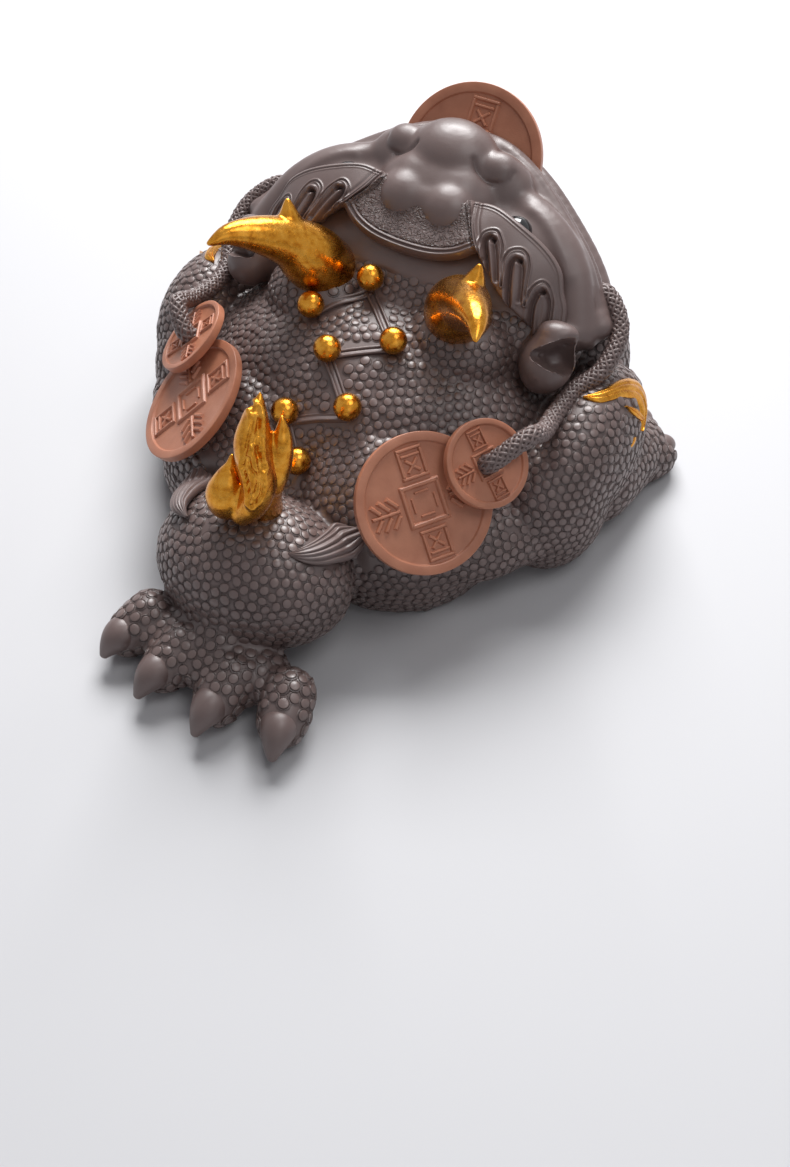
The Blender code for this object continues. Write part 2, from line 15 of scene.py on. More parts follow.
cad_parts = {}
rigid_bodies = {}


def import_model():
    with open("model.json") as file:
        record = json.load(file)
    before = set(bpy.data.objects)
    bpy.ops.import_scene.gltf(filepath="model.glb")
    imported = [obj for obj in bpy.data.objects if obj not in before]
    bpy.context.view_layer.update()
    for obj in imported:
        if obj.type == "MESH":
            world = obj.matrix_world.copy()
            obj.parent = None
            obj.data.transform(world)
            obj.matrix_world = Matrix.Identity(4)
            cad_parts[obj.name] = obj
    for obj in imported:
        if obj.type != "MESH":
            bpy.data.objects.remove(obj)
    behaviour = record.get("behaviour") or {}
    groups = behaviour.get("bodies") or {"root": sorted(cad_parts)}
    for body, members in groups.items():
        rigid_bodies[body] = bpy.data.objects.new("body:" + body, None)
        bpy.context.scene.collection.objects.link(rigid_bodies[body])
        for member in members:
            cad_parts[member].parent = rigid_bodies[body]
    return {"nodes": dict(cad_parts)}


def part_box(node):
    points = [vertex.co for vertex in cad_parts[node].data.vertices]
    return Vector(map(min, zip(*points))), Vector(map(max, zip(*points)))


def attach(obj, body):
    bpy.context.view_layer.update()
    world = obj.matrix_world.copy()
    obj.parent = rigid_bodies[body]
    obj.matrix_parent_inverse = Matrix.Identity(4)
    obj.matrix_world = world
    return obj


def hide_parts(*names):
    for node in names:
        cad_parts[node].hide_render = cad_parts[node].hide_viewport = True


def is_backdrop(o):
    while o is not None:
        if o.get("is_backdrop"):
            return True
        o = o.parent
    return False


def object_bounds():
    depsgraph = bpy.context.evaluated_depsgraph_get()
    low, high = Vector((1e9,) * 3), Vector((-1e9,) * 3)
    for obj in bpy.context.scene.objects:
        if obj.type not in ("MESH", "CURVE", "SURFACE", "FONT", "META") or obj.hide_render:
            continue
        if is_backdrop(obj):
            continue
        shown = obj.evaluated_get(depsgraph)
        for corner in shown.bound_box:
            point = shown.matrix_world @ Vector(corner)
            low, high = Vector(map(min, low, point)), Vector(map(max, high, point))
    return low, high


for leftover in list(bpy.data.objects):
    bpy.data.objects.remove(leftover, do_unlink=True)
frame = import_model()
size = {"cad": [list(corner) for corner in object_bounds()]}
print("packed nodes:", len(frame["nodes"]))

# %% [markdown]
# ## Millimetres, arrays and closed shapes
# All numbers below are millimetres, because a toad of 166 mm is easier to think about that way.
# One helper turns arrays of points and faces into an object, one applies modifiers, one finds the
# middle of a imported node, and one hands a finished piece to the frame.

# %% Helpers for making and finishing pieces
MM = 0.001
BOX_LOW, BOX_HIGH = (np.array(corner) / MM for corner in size["cad"])
BOX_MARGIN = 0.02
SIDES = (("left", 1), ("right", -1))


def unit(rows):
    return rows / np.maximum(np.linalg.norm(rows, axis=-1, keepdims=True), 1e-9)


def mesh_object(name, points, faces):
    """A smooth-shaded object from points in millimetres and faces that look outward."""
    mesh = bpy.data.meshes.new(name)
    mesh.from_pydata((np.asarray(points, float) * MM).tolist(), [], faces)
    mesh.update()
    mesh.shade_smooth()
    obj = bpy.data.objects.new(name, mesh)
    bpy.context.scene.collection.objects.link(obj)
    return obj


def only(obj):
    """Selects one object and makes it the active one."""
    bpy.ops.object.select_all(action="DESELECT")
    obj.select_set(True)
    bpy.context.view_layer.objects.active = obj


def apply_modifiers(obj):
    only(obj)
    for modifier in list(obj.modifiers):
        bpy.ops.object.modifier_apply(modifier=modifier.name)


def outward_faces(obj):
    """Turns every face of a closed mesh outward."""
    only(obj)
    bpy.ops.object.mode_set(mode="EDIT")
    bpy.ops.mesh.select_all(action="SELECT")
    bpy.ops.mesh.normals_make_consistent(inside=False)
    bpy.ops.object.mode_set(mode="OBJECT")
    return obj


def points_of(obj):
    """The object's points, in millimetres, one row each."""
    flat = np.empty(len(obj.data.vertices) * 3, np.float32)
    obj.data.vertices.foreach_get("co", flat)
    return flat.reshape(-1, 3).astype(float) / MM


def normals_of(obj):
    flat = np.empty(len(obj.data.vertices) * 3, np.float32)
    obj.data.vertex_normals.foreach_get("vector", flat)
    return flat.reshape(-1, 3).astype(float)


def set_points(obj, points):
    obj.data.vertices.foreach_set("co", (points * MM).astype(np.float32).ravel())
    obj.data.update()


def tree_of(obj):
    """A search tree over the object's surface, in millimetres."""
    obj.data.calc_loop_triangles()
    faces = [tuple(face.vertices) for face in obj.data.loop_triangles]
    return BVHTree.FromPolygons(points_of(obj).tolist(), faces)


def packed_middle(node):
    """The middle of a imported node's box, in millimetres."""
    low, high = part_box(node)
    return np.array((low + high) / 2) / MM


def finish_piece(obj, slot, material, *nodes):
    """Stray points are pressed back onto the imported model's box before the piece is handed over."""
    set_points(obj, np.clip(points_of(obj), BOX_LOW + BOX_MARGIN, BOX_HIGH - BOX_MARGIN))
    obj.data.materials.clear()
    obj.data.materials.append(material)
    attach(obj, "root")
    if nodes:
        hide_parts(*nodes)
    triangles = sum(len(face.vertices) - 2 for face in obj.data.polygons)
    print(obj.name, "triangles", triangles)
    return obj


def joined(parts):
    """Several (points, faces) pairs as one pair."""
    points, faces, start = [], [], 0
    for some_points, some_faces in parts:
        points.append(some_points)
        faces += [tuple(index + start for index in face) for face in some_faces]
        start += len(some_points)
    return np.concatenate(points), faces


# %% [markdown]
# ## Smooth runs through a few points
# A carver's line is a few places joined by a flowing curve. A Catmull-Rom run does the same: it
# passes through every point given, so a curve can be read off a picture point by point.

# %% Curves and tubes


def through(points, steps=8):
    """A Catmull-Rom run through the points, with so many steps between each two."""
    rows = np.asarray(points, float)
    rows = np.vstack([2 * rows[0] - rows[1], rows, 2 * rows[-1] - rows[-2]])
    run = []
    for before, here, there, after in zip(rows, rows[1:], rows[2:], rows[3:]):
        for t in np.arange(steps) / steps:
            bend = 2 * before - 5 * here + 4 * there - after
            twist = 3 * here - before - 3 * there + after
            run.append(0.5 * (2 * here + t * (there - before) + t * t * bend + t**3 * twist))
    return np.array([*run, rows[-2]])


def even(path, spacing):
    """The path again, with its points evenly spaced."""
    lengths = np.concatenate([[0], np.cumsum(np.linalg.norm(np.diff(path[:, :3], axis=0), axis=1))])
    count = max(int(lengths[-1] / spacing), 2)
    places = np.linspace(0, lengths[-1], count + 1)
    return np.stack([np.interp(places, lengths, path[:, i]) for i in range(path.shape[1])], -1)


def frames_along(path):
    """For each point: the direction along the path and two directions across, without twist."""
    along = unit(np.gradient(path, axis=0))
    across = np.zeros_like(path)
    previous = np.cross(along[0], (0.31, 0.17, 0.93))
    for i, direction in enumerate(along):
        previous = unit(previous - direction * (previous @ direction))
        across[i] = previous
    return along, across, np.cross(along, across)


def grid_faces(rows, columns, closed):
    """The four-sided faces of a grid; a closed one joins its last column to its first."""
    faces = []
    for i in range(rows - 1):
        for j in range(columns if closed else columns - 1):
            k = (j + 1) % columns
            here, there = i * columns, (i + 1) * columns
            faces.append((here + j, here + k, there + k, there + j))
    return faces


def tube(path, radii, sides=8):
    """A closed tube with its own radius at each point."""
    _, across, other = frames_along(path)
    turns = np.arange(sides) * 2 * math.pi / sides
    cosines, sines = np.cos(turns)[None, :, None], np.sin(turns)[None, :, None]
    ring = across[:, None] * cosines + other[:, None] * sines
    radii = np.broadcast_to(radii, len(path))
    points = (path[:, None] + ring * radii[:, None, None]).reshape(-1, 3)
    faces = grid_faces(len(path), sides, True)
    faces.append(tuple(reversed(range(sides))))
    faces.append(tuple(range(len(points) - sides, len(points))))
    return points, faces


straight = np.array([[0, 0, 0], [0, 0, 1], [0, 0, 2.0]])
print("a straight tube of 3 rings has", len(tube(straight, 1)[1]), "faces")

# %% [markdown]
# ## One ball, many forms
# The clay is built up from lumps, as a modeller would. A single built-in sphere is made, and its
# points are copied with a new size and place for each lump. A voxel Remesh then fuses the lumps
# into one skin, and a Smooth modifier rounds the seams between them.

# %% The ball and the fused skin
bpy.ops.mesh.primitive_uv_sphere_add(segments=24, ring_count=14, radius=1)
ball_object = bpy.context.object
BALL_POINTS = np.array([vert.co for vert in ball_object.data.vertices])
BALL_FACES = [tuple(face.vertices) for face in ball_object.data.polygons]
bpy.data.objects.remove(ball_object)


def ball(centre, radii):
    return BALL_POINTS * np.asarray(radii, float) + np.asarray(centre, float), BALL_FACES


def limb(stations, steps=5, place=None):
    """Balls along a run of stations, each x, y, z and radius."""
    made = []
    for row in through(stations, steps):
        centre = row[:3] if place is None else place(row[None, :3])[0]
        made.append(ball(centre, [max(row[3], 0.3)] * 3))
    return made


def one_skin(obj, voxel, smoothing):
    """Adds a voxel Remesh and a Smooth, then applies all the object's modifiers."""
    skin = obj.modifiers.new("one_skin", "REMESH")
    skin.mode = "VOXEL"
    skin.voxel_size = voxel * MM
    soft = obj.modifiers.new("soften", "SMOOTH")
    soft.factor = 0.5
    soft.iterations = smoothing
    apply_modifiers(obj)
    obj.data.shade_smooth()
    return obj


def fused(name, parts, voxel, smoothing):
    return one_skin(mesh_object(name, *joined(parts)), voxel, smoothing)


print("ball:", len(BALL_POINTS), "points")

# %% [markdown]
# ## The head's own frame
# The toad looks up at the sky, so its head is modelled level and then pitched back by 41 degrees.
# A head point is across, forward and up from the middle of the skull.

# %% Head frame
HEAD_CENTRE = np.array([0.0, -50, 50])
PITCH = math.radians(41)
FORWARD = np.array([0, -math.cos(PITCH), math.sin(PITCH)])
UPWARD = np.array([0, math.sin(PITCH), math.cos(PITCH)])


def head(points):
    rows = np.atleast_2d(np.asarray(points, float))
    across = rows[:, :1] * np.array([1.0, 0, 0])
    return HEAD_CENTRE + across + rows[:, 1:2] * FORWARD + rows[:, 2:3] * UPWARD


def head_ball(centre, radii):
    """The ball is mirrored by the head's axes, so its faces are turned round."""
    points = head(BALL_POINTS * np.asarray(radii, float) + np.asarray(centre, float))
    return points, [face[::-1] for face in BALL_FACES]


def mirrored(rows, side):
    made = np.array(rows, float)
    made[..., 0] *= side
    return made


print("snout tip:", head((0, 34.3, 13.2))[0].round(1))

# %% [markdown]
# ## Torso, legs and feet
# The back is broad and low, the hips and shoulders swell at the sides, and one hind foot points
# straight back. Most lumps are those of the solid model, with a few more for the upper arms and
# the chest. Where they swell past its box, finish_piece presses them back.

# %% Body lumps
TORSO = (
    ((0, -16, 14), (61, 42, 19)),
    ((0, -30, 14), (54, 45, 37)),
    ((0, -50, 28), (43, 27, 26)),
    ((0, 35, 17), (25.5, 19, 18)),
    ((-1, 55, 6), (21, 10, 7.5)),
    ((55.5, -33.5, 20), (14.5, 22.5, 21)),
    ((-56, -35.5, 21.3), (13.2, 27, 19.8)),
    ((18, -2, 12), (30, 28, 27)),
    ((-18, -2, 12), (30, 28, 27)),
    ((20, -33, 43), (15, 14, 12.5)),
    ((-20, -33, 43), (15, 14, 12.5)),
    ((52, -21, 15), (13, 16, 19)),
    ((-53, -21, 15), (15, 17, 20)),
    ((43, -62, 24), (13, 15, 17)),
    ((-43, -62, 24), (13, 15, 17)),
)
NAPE = (((0, -2, -4), (49, 34, 17.5)), ((0, 0, -13), (46, 33, 16)))
FOREARM = ((58, -36, 12, 13), (62, -48, 9, 10), (64, -56, 7, 8))
SHIN = ((0, 42, 11, 13), (-1, 48, 8, 10), (-1, 54, 7, 8))
HIND_TOES = (
    ((18.5, 54, 7.5), (23.7, 67.5, 3)),
    ((6, 57.5, 7.5), (9.7, 73, 3)),
    ((-9, 59, 7.5), (-8, 75, 3)),
    ((-23, 57, 7.5), (-27.2, 72, 3)),
)
FORE_TOES = (
    ((56, -57, 6), (50, -68, 3)),
    ((62, -58, 6.5), (61, -71, 3)),
    ((67, -53, 6), (72, -64, 3)),
)
TOE_RADIUS, PAD_RADIUS = 6.2, 4.2
BODY_VOXEL = 0.95
toes = [(np.array(root, float), np.array(tip, float)) for root, tip in HIND_TOES]
for _, side in SIDES:
    toes += [(mirrored(root, side), mirrored(tip, side)) for root, tip in FORE_TOES]

body_parts = [ball(centre, radii) for centre, radii in TORSO]
body_parts += [head_ball(centre, radii) for centre, radii in NAPE]
body_parts += limb(SHIN)
for _, side in SIDES:
    body_parts += limb(mirrored(FOREARM, side))
for root, tip in toes:
    knuckle = root * 0.62 + tip * 0.38
    pad = root * 0.5 + tip * 0.5
    body_parts += limb(((*root, TOE_RADIUS), (*knuckle, TOE_RADIUS * 0.95), (*pad, PAD_RADIUS)))
body = fused("clay_body", body_parts, BODY_VOXEL, 6)
print("body skin:", len(body.data.polygons), "faces")

# %% [markdown]
# ## Flat on the tray
# The real figure stands on a flat cut rim. Points that fall below the floor are lifted onto it.

# %% Level the base
body_points = points_of(body)
body_points[:, 2] = np.maximum(body_points[:, 2], 0)
set_points(body, body_points)
print("lowest point:", body_points[:, 2].min())

# %% [markdown]
# ## Strokes
# Creases, folds and slots are cut with a tool that follows a line. A stroke is that line: every
# point of the skin is pushed in or out by an amount that depends on how far it is from the line.

# %% Stroke tools


def distance_to(points, path):
    """Each point's distance to the nearest place on a path of straight pieces."""
    best = np.full(len(points), 1e9)
    for start, end in zip(path, path[1:]):
        run = end - start
        share = np.clip((points - start) @ run / max(run @ run, 1e-12), 0, 1)
        gap = np.linalg.norm(points - start - share[:, None] * run, axis=1)
        best = np.minimum(best, gap)
    return best


def bell(distance, width):
    return np.exp(-((distance / width) ** 2))


def step_up(value, low, high):
    share = np.clip((value - low) / (high - low), 0, 1)
    return share * share * (3 - 2 * share)


def carve(obj, strokes):
    """Moves the skin along its normals. Each stroke is a path, a depth and a width."""
    points, normals = points_of(obj), normals_of(obj)
    moved = np.zeros(len(points))
    for path, depth, width in strokes:
        low, high = path.min(0) - 4 * width, path.max(0) + 4 * width
        near = ((points > low) & (points < high)).all(1)
        moved[near] += depth * bell(distance_to(points[near], path), width)
    set_points(obj, points + normals * moved[:, None])


print("a stroke 1 mm wide is down to", round(float(bell(np.array([1.0]), 1.0)[0]), 2), "at its side")

# %% [markdown]
# ## The skull, cheeks and lips
# The wide flat head is smooth burnished clay. Its lumps are the skull, the muzzle, the domes of
# the forehead, two nostril bulbs, the ears and three long rolls: a cheek fold and the two lips.

# %% Head lumps
HEAD_FORMS = (
    ((0, -2, -4), (49, 34, 17.5)),
    ((0, 0, -13), (46, 33, 16)),
    ((0, 27.5, 4.9), (12.6, 11, 10.2)),
    ((0, 17, 7.6), (16.5, 12, 8)),
    ((0, 14, 9.6), (8.5, 7, 7)),
    ((0, -4.5, 8), (18, 5.4, 5.6)),
)
HEAD_SIDE_FORMS = (
    ((6.2, 13.6, 11.2), (7.6, 7.6, 6.8)),
    ((5, 19, 8.4), (9, 8.5, 7)),
    ((13.2, 28.2, 6.6), (5.6, 5, 4.6)),
    ((11, 25, 3.6), (12, 9, 6.2)),
    ((27, 12, 4.2), (12, 10, 5.4)),
    ((43.3, -13.5, 6.6), (7.8, 9.2, 7.4)),
)
CHEEK_FOLD = ((21, 23, 3, 4), (31.5, 17, 3, 5.5), (40, 9, 1, 6), (45.5, -3, -1, 6))
LIP = ((0, 36), (10, 35), (20, 30.5), (31, 22.5), (42, 12.5), (51, 0))
EAR_TIP = ((43.5, -9, 8, 6), (46, -6.6, 8.6, 3.5), (47.9, -4.4, 9, 0.8))
LIP_LEVELS = ((0, -2), (1.5, -11))
SKULL_VOXEL = 0.6
head_parts = [head_ball(centre, radii) for centre, radii in HEAD_FORMS]
for _, side in SIDES:
    head_parts += [head_ball(mirrored(centre, side), radii) for centre, radii in HEAD_SIDE_FORMS]
    for run in (CHEEK_FOLD, EAR_TIP):
        head_parts += limb(mirrored(run, side), 5, head)
    for ahead, level in LIP_LEVELS:
        head_parts += limb([(x * side, y + ahead, level, 3) for x, y in LIP], 5, head)
skull = fused("clay_head", head_parts, SKULL_VOXEL, 22)
print("head skin:", len(skull.data.polygons), "faces")

# %% [markdown]
# ## Hollows cut with Booleans
# The mouth slot, the nostrils and the cups of the ears are hollows with clean edges. Each cutter
# is a closed shape, and the Boolean takes it away from the skull.

# %% Mouth, nostrils and ear cups
EAR_OPENING = ((48.6, -5.6, 9.6), (39.6, -13.6, 12.6), (45.5, -15.2, 12.4), (52.2, -14.4, 7.6))
EAR_FLOOR = ((45, -10, 5.5), (42.6, -12.2, 6.5), (44, -13.5, 5.2), (46, -12.6, 4))
cutters = [head_ball((0, 36, -6.6), (23, 12, 4))]
for _, side in SIDES:
    cutters.append(head_ball((12.6 * side, 33.6, 6), (2, 3, 1.8)))
    outward = np.array([0.34, 0, 0.94])
    rings = [np.array(EAR_OPENING) + outward * 5, np.array(EAR_OPENING), np.array(EAR_FLOOR)]
    cup = np.concatenate([head(mirrored(ring, side)) for ring in rings])
    cup_faces = [*grid_faces(3, 4, True), (3, 2, 1, 0), (8, 9, 10, 11)]
    if side < 0:
        cup_faces = [face[::-1] for face in cup_faces]
    cutters.append((cup, cup_faces))
cutter = outward_faces(mesh_object("head_cutter", *joined(cutters)))
hollow = skull.modifiers.new("hollows", "BOOLEAN")
hollow.operation = "DIFFERENCE"
hollow.solver = "EXACT"
hollow.object = cutter
one_skin(skull, SKULL_VOXEL, 4)
bpy.data.objects.remove(cutter)
print("head after the cuts:", len(skull.data.polygons), "faces")

# %% [markdown]
# ## Creases of the face
# A crescent crease hugs each nostril, a fold runs above the lip to the corner of the mouth, and a
# bright ridge crosses the cheek under the eye. Behind the brows the skull sinks under the body's
# skin in one soft step, so that the pebbles of the nape cover it.

# %% Carve the face
NOSTRIL = (
    (8, 28, 12.4), (8.7, 26.7, 12), (9.9, 25.2, 11.2), (11.8, 24.2, 10.4), (14, 24.2, 9.6),
    (16, 25.2, 8.6), (17.2, 26.5, 8.2), (17.4, 28.2, 8.4),
)
LIP_FOLD = (
    (6, 35, 1.5), (14, 33.8, 1), (20.7, 31, 0.6), (27, 27, 1), (32.9, 22.4, 1.6), (39.1, 17, 2.6),
    (44, 12, 2.4), (49, 4, 1),
)
LIP_LINE = (
    (4, 37, -0.5), (14, 35.6, -0.8), (22.8, 31.9, -1.5), (29.7, 26.9, -1.3), (35.3, 22.5, -1.2),
    (40.7, 17.5, -0.6), (46, 11.5, -0.6), (51, 3, -1),
)
CHEEK_RIDGE = ((26, 21.2, 7.6), (28.7, 20.1, 7.9), (33.4, 16.7, 8.2), (36.8, 13, 7.8), (40, 8.5, 6.4))
CREASES = (
    (NOSTRIL, -0.8, 0.7),
    (LIP_FOLD, -0.5, 1.5),
    (LIP_LINE, -0.5, 0.8),
    (CHEEK_RIDGE, 0.5, 1.6),
)
PROUD_FACE, NAPE_DROP = 0.3, 1.1
face_strokes = []
for _, side in SIDES:
    for path, depth, width in CREASES:
        face_strokes.append((head(through(mirrored(path, side))), depth, width))
carve(skull, face_strokes)
skull_points = points_of(skull)
behind = -(skull_points - HEAD_CENTRE) @ FORWARD
nape_step = PROUD_FACE - NAPE_DROP * step_up(behind, 4.5, 8.5)
set_points(skull, skull_points + normals_of(skull) * nape_step[:, None])
print("face strokes:", len(face_strokes))

# %% [markdown]
# ## The brow plates
# Over each eye lies a plate like a wing cover, cut with three nested loops. It is modelled as a
# fine grid between its outer and its inner edge, because its lines are thinner than the skin's
# grid. The lines are heights: a double ridge round each loop and a deep slot inside it.

# %% Brow plate shape
BROW_OUTER = (
    (11.7, 17.6, 14.3), (18.9, 18.2, 15), (26.7, 15.8, 15), (34.2, 12.7, 13), (39, 9, 11),
    (41.3, 4, 9), (43.1, 0.7, 7.5), (44, -3.4, 6.5), (44.4, -7, 6),
)
BROW_INNER = (
    (18.6, 6.4, 18.4), (21, 4, 17.8), (25, 0, 16.8), (29.5, -3.6, 15.5), (32.5, -5, 13.5),
    (34.3, -5.9, 12), (36, -6.5, 10.5), (37.4, -8, 9), (38.6, -10, 7.6),
)
LOOPS = (
    (
        (20.5, 4.2), (19.6, 6.7), (19.1, 8.8), (19.3, 10.5), (20.7, 11.8), (22.3, 12),
        (23.8, 10.5), (25.1, 8.5), (26.1, 5.2), (27.2, 2.2), (28.2, -0.4),
    ),
    (
        (28.2, -0.4), (27.4, 3), (26.6, 5.4), (26.6, 7.3), (27.1, 8.6), (28.3, 9.5), (29.7, 9.8),
        (31.2, 9), (32.3, 7.2), (32.9, 5.3), (33.3, 2.8), (33.9, -0.1), (34.5, -2.6),
    ),
    (
        (34.6, -2.7), (34.6, -0.8), (34.8, 1.4), (35.6, 3.3), (36.6, 4.3), (37.9, 4), (39.2, 2.5),
        (40.3, 0.3), (40.7, -2), (41.3, -4.9), (41.5, -7),
    ),
)
DEEP_SLOTS = (
    ((24.6, 0), (22.4, 4.6), (20.9, 7.5), (20.6, 9), (21.2, 10), (22.3, 9.6)),
    ((30.8, -4), (29.3, 1.2), (28.5, 4.5), (28.5, 6.3), (29, 7.1), (30, 7.1)),
    ((36.9, -7.5), (36.1, -2.6), (36.1, -0.5), (36.4, 1.1), (37.2, 2.1)),
)
SHALLOW_SLOTS = (
    ((22.3, 9.6), (23.5, 7.4), (24.8, 4.6), (26.4, 0.6)),
    ((30, 7.1), (30.6, 6.4), (31.4, 4.6), (32.5, 0.9), (33, -2)),
    ((37.2, 2.1), (38.1, 1.8), (39.4, 0.2), (40.1, -2.6), (40.4, -5.8)),
)
RIB_ON_BROW = ((13.6, 18.4), (14.7, 14.9), (15.6, 12.4), (17.2, 9.4), (19, 6.8), (20.8, 4.5))


def plan_distance(grid, path):
    """Each grid point's distance to a path, seen from above the head."""
    flat = grid.reshape(-1, grid.shape[-1])[:, :2]
    return distance_to(flat, through(path)[:, :2]).reshape(grid.shape[:-1])


def ridges(distance, rows):
    """The sum of fine ridges: each row is an offset, a width and a rise."""
    return sum(rise * bell(distance - offset, width) for offset, width, rise in rows)


def brow_relief(grid, edge):
    """Height of the plate's carving over its plain surface."""
    height = np.zeros(grid.shape[:-1])
    for paths, rows in (
        (LOOPS, ((0.42, 0.21, 0.34), (0, 0.2, -0.2))),
        (DEEP_SLOTS, ((1.15, 0.5, 0.3), (0, 0.5, -1.5))),
        (SHALLOW_SLOTS, ((1.15, 0.5, 0.3), (0, 0.42, -0.7))),
        ((RIB_ON_BROW,), ((0.32, 0.3, 0.5), (1.15, 0.45, -0.35))),
    ):
        for path in paths:
            height += ridges(plan_distance(grid, path), rows)
    return height + ridges(edge, ((0.75, 0.2, 0.16), (1.15, 0.22, -0.16), (1.55, 0.2, 0.14)))


def edge_drop(distance, radius):
    """How far a rounded edge falls, at a distance in from that edge."""
    share = np.clip(1 - distance / radius, 0, 1)
    return -radius * (1 - np.sqrt(1 - share * share))


# %% [markdown]
# The grid is walled in all round and closed underneath, so the plate is a solid that sits in the
# skull. Its outer wall leans inward as it goes down, which leaves the eye in shadow.

# %% Make the two brow plates
BROW_ROWS, BROW_COLUMNS = 300, 92
BROW_CROWN = 0.9
BROW_SKIRT = ((0, 0.5), (0.1, 1.6), (1.0, 2.6), (2.2, 7))


def brow_run(path):
    """One edge of the plate as a fixed number of even points."""
    run = even(through(path, 20), 0.05)
    return run[(np.linspace(0, 1, BROW_ROWS) * (len(run) - 1)).astype(int)]


outer_run, inner_run = brow_run(BROW_OUTER), brow_run(BROW_INNER)
share = np.linspace(0, 1, BROW_COLUMNS)[None, :, None]
brow_grid = outer_run[:, None] * (1 - share) + inner_run[:, None] * share
brow_width = np.linalg.norm(outer_run - inner_run, axis=1)[:, None]
from_outer = share[..., 0] * brow_width
from_inner = (1 - share[..., 0]) * brow_width
brow_grid[..., 2] += BROW_CROWN * 4 * share[..., 0] * (1 - share[..., 0])
brow_grid[..., 2] += brow_relief(brow_grid, from_outer)
brow_grid[..., 2] += edge_drop(from_outer, 0.6) + edge_drop(from_inner, 0.9)


def skirted(grid, drops):
    """Closes a grid of rows and columns with a skirt: each drop is a shift inward and down."""
    rows, columns = grid.shape[:2]
    index = np.arange(rows * columns).reshape(rows, columns)
    rim = np.concatenate([index[0, :-1], index[:-1, -1], index[-1, :0:-1], index[:0:-1, 0]])
    points = grid.reshape(-1, 3)
    middle = points.mean(0)
    inward = unit((middle - points[rim]) * np.array([1, 1, 0]))
    faces = [tuple(int(i) for i in face) for face in grid_faces(rows, columns, False)]
    loops, all_points = [rim], [points]
    start = len(points)
    for shift, drop in drops:
        all_points.append(points[rim] + inward * shift - np.array([0, 0, drop]))
        loops.append(np.arange(start, start + len(rim)))
        start += len(rim)
    for upper, lower in zip(loops, loops[1:]):
        for i in range(len(rim)):
            j = (i + 1) % len(rim)
            faces.append((int(upper[j]), int(upper[i]), int(lower[i]), int(lower[j])))
    faces.append(tuple(int(i) for i in loops[-1]))
    return np.concatenate(all_points), faces


brow_points, brow_faces = skirted(brow_grid, BROW_SKIRT)
brows = []
for name, side in SIDES:
    plate = mesh_object(name + "_brow_plate", head(mirrored(brow_points, side)), brow_faces)
    brows.append(outward_faces(plate))
print("brow plate:", len(brows[0].data.polygons), "faces, widest", brow_width.max().round(1), "mm")

# %% [markdown]
# ## The crest
# Between the brows lies a fan with a stippled field and a rim of two fine ridges. Its front dips
# under the domes of the forehead, which belong to the skull. It is laid out like a target: rings
# of points that shrink from the outline to a middle point, so the rings run along the rim and keep
# its lines clean.

# %% Crest outline and height
RIM = ((0, 0.4), (8, 1), (14, 3), (18.6, 6.4))
CREST_SIDE = ((18.6, 6.4), (16.4, 9.6), (14, 13.4), (11.7, 17.6))
CREST_FRONT = ((11.7, 17.6), (6, 20.4), (0, 21))
CREST_MIDDLE = np.array([0, 11.6])
CREST_RINGS = 84
CREST_LEVEL = 17.6
RIM_RIDGES = ((0.35, 0.32, 0.5), (1.0, 0.24, -0.28), (1.5, 0.24, 0.3), (2.0, 0.24, -0.2))
SIDE_RIDGES = ((0.3, 0.35, 0.55), (1.0, 0.3, -0.25))
runs = [even(through(run, 12), 0.3)[:-1] for run in (RIM, CREST_SIDE, CREST_FRONT)]
half_outline = np.concatenate([*runs, [CREST_FRONT[-1]]])
outline = np.concatenate([half_outline, (half_outline * (-1, 1))[-2:0:-1]])
inward_share = np.linspace(0, 1, CREST_RINGS)[:-1, None, None]
plan = outline[None] * (1 - inward_share) + CREST_MIDDLE * inward_share
full_rim = np.concatenate([(np.array(RIM) * (-1, 1))[:0:-1], RIM])
to_rim = plan_distance(plan, full_rim)
to_side, to_other_side = (plan_distance(plan * (sign, 1), CREST_SIDE) for sign in (1, -1))
to_side = np.minimum(to_side, to_other_side)
forward = plan[..., 1]
crest_height = CREST_LEVEL - 1.1 * step_up(to_rim, 1.5, 8) - 7 * step_up(forward, 15.5, 21)
crest_height += ridges(to_rim, RIM_RIDGES) + ridges(to_side, SIDE_RIDGES)
stipple = step_up(to_rim, 1.9, 2.5) * (forward < 17.5)
print("crest field:", crest_height.min().round(1), "to", crest_height.max().round(1), "mm up")

# %% [markdown]
# The crest's edge overhangs: its band leans out as it falls, then turns back under into a smooth
# hollow wall. These are more rings outside the outline, each lower than the one before.

# %% Make the crest
CREST_SKIRT = (
    (2.4, -12), (1.2, -5.6), (-0.1, -3.5), (-0.85, -2.9), (-1.1, -2.3), (-1, -1.5), (-0.5, -0.55),
)
outward = unit(outline - CREST_MIDDLE)
edge_height = crest_height[0]
loops = []
for shift, drop in CREST_SKIRT:
    loops.append(np.column_stack([outline - outward * shift, edge_height + drop]))
loops += [np.column_stack([ring, height]) for ring, height in zip(plan, crest_height)]
crest_points = np.concatenate([*loops, [(*CREST_MIDDLE, crest_height[-1].mean())]])
around = len(outline)
crest_faces = grid_faces(len(loops), around, True)
last = len(loops) * around
crest_faces += [(last - around + j, last - around + (j + 1) % around, last) for j in range(around)]
crest_faces.append(tuple(range(around)))
crest = outward_faces(mesh_object("clay_crest", head(crest_points), crest_faces))
mask = np.concatenate([np.zeros(len(CREST_SKIRT) * around), stipple.ravel(), [0]])
stipple_values = crest.data.attributes.new("stipple", "FLOAT", "POINT").data
stipple_values.foreach_set("value", mask.astype(np.float32))
print("crest:", len(crest.data.polygons), "faces")

# %% [markdown]
# ## Claws
# Each toe ends in a thick smooth claw that is set on top of the pad and hooks down. All the claws
# are one lathe-like shape swept along a bent line; each toe gets its own copy.

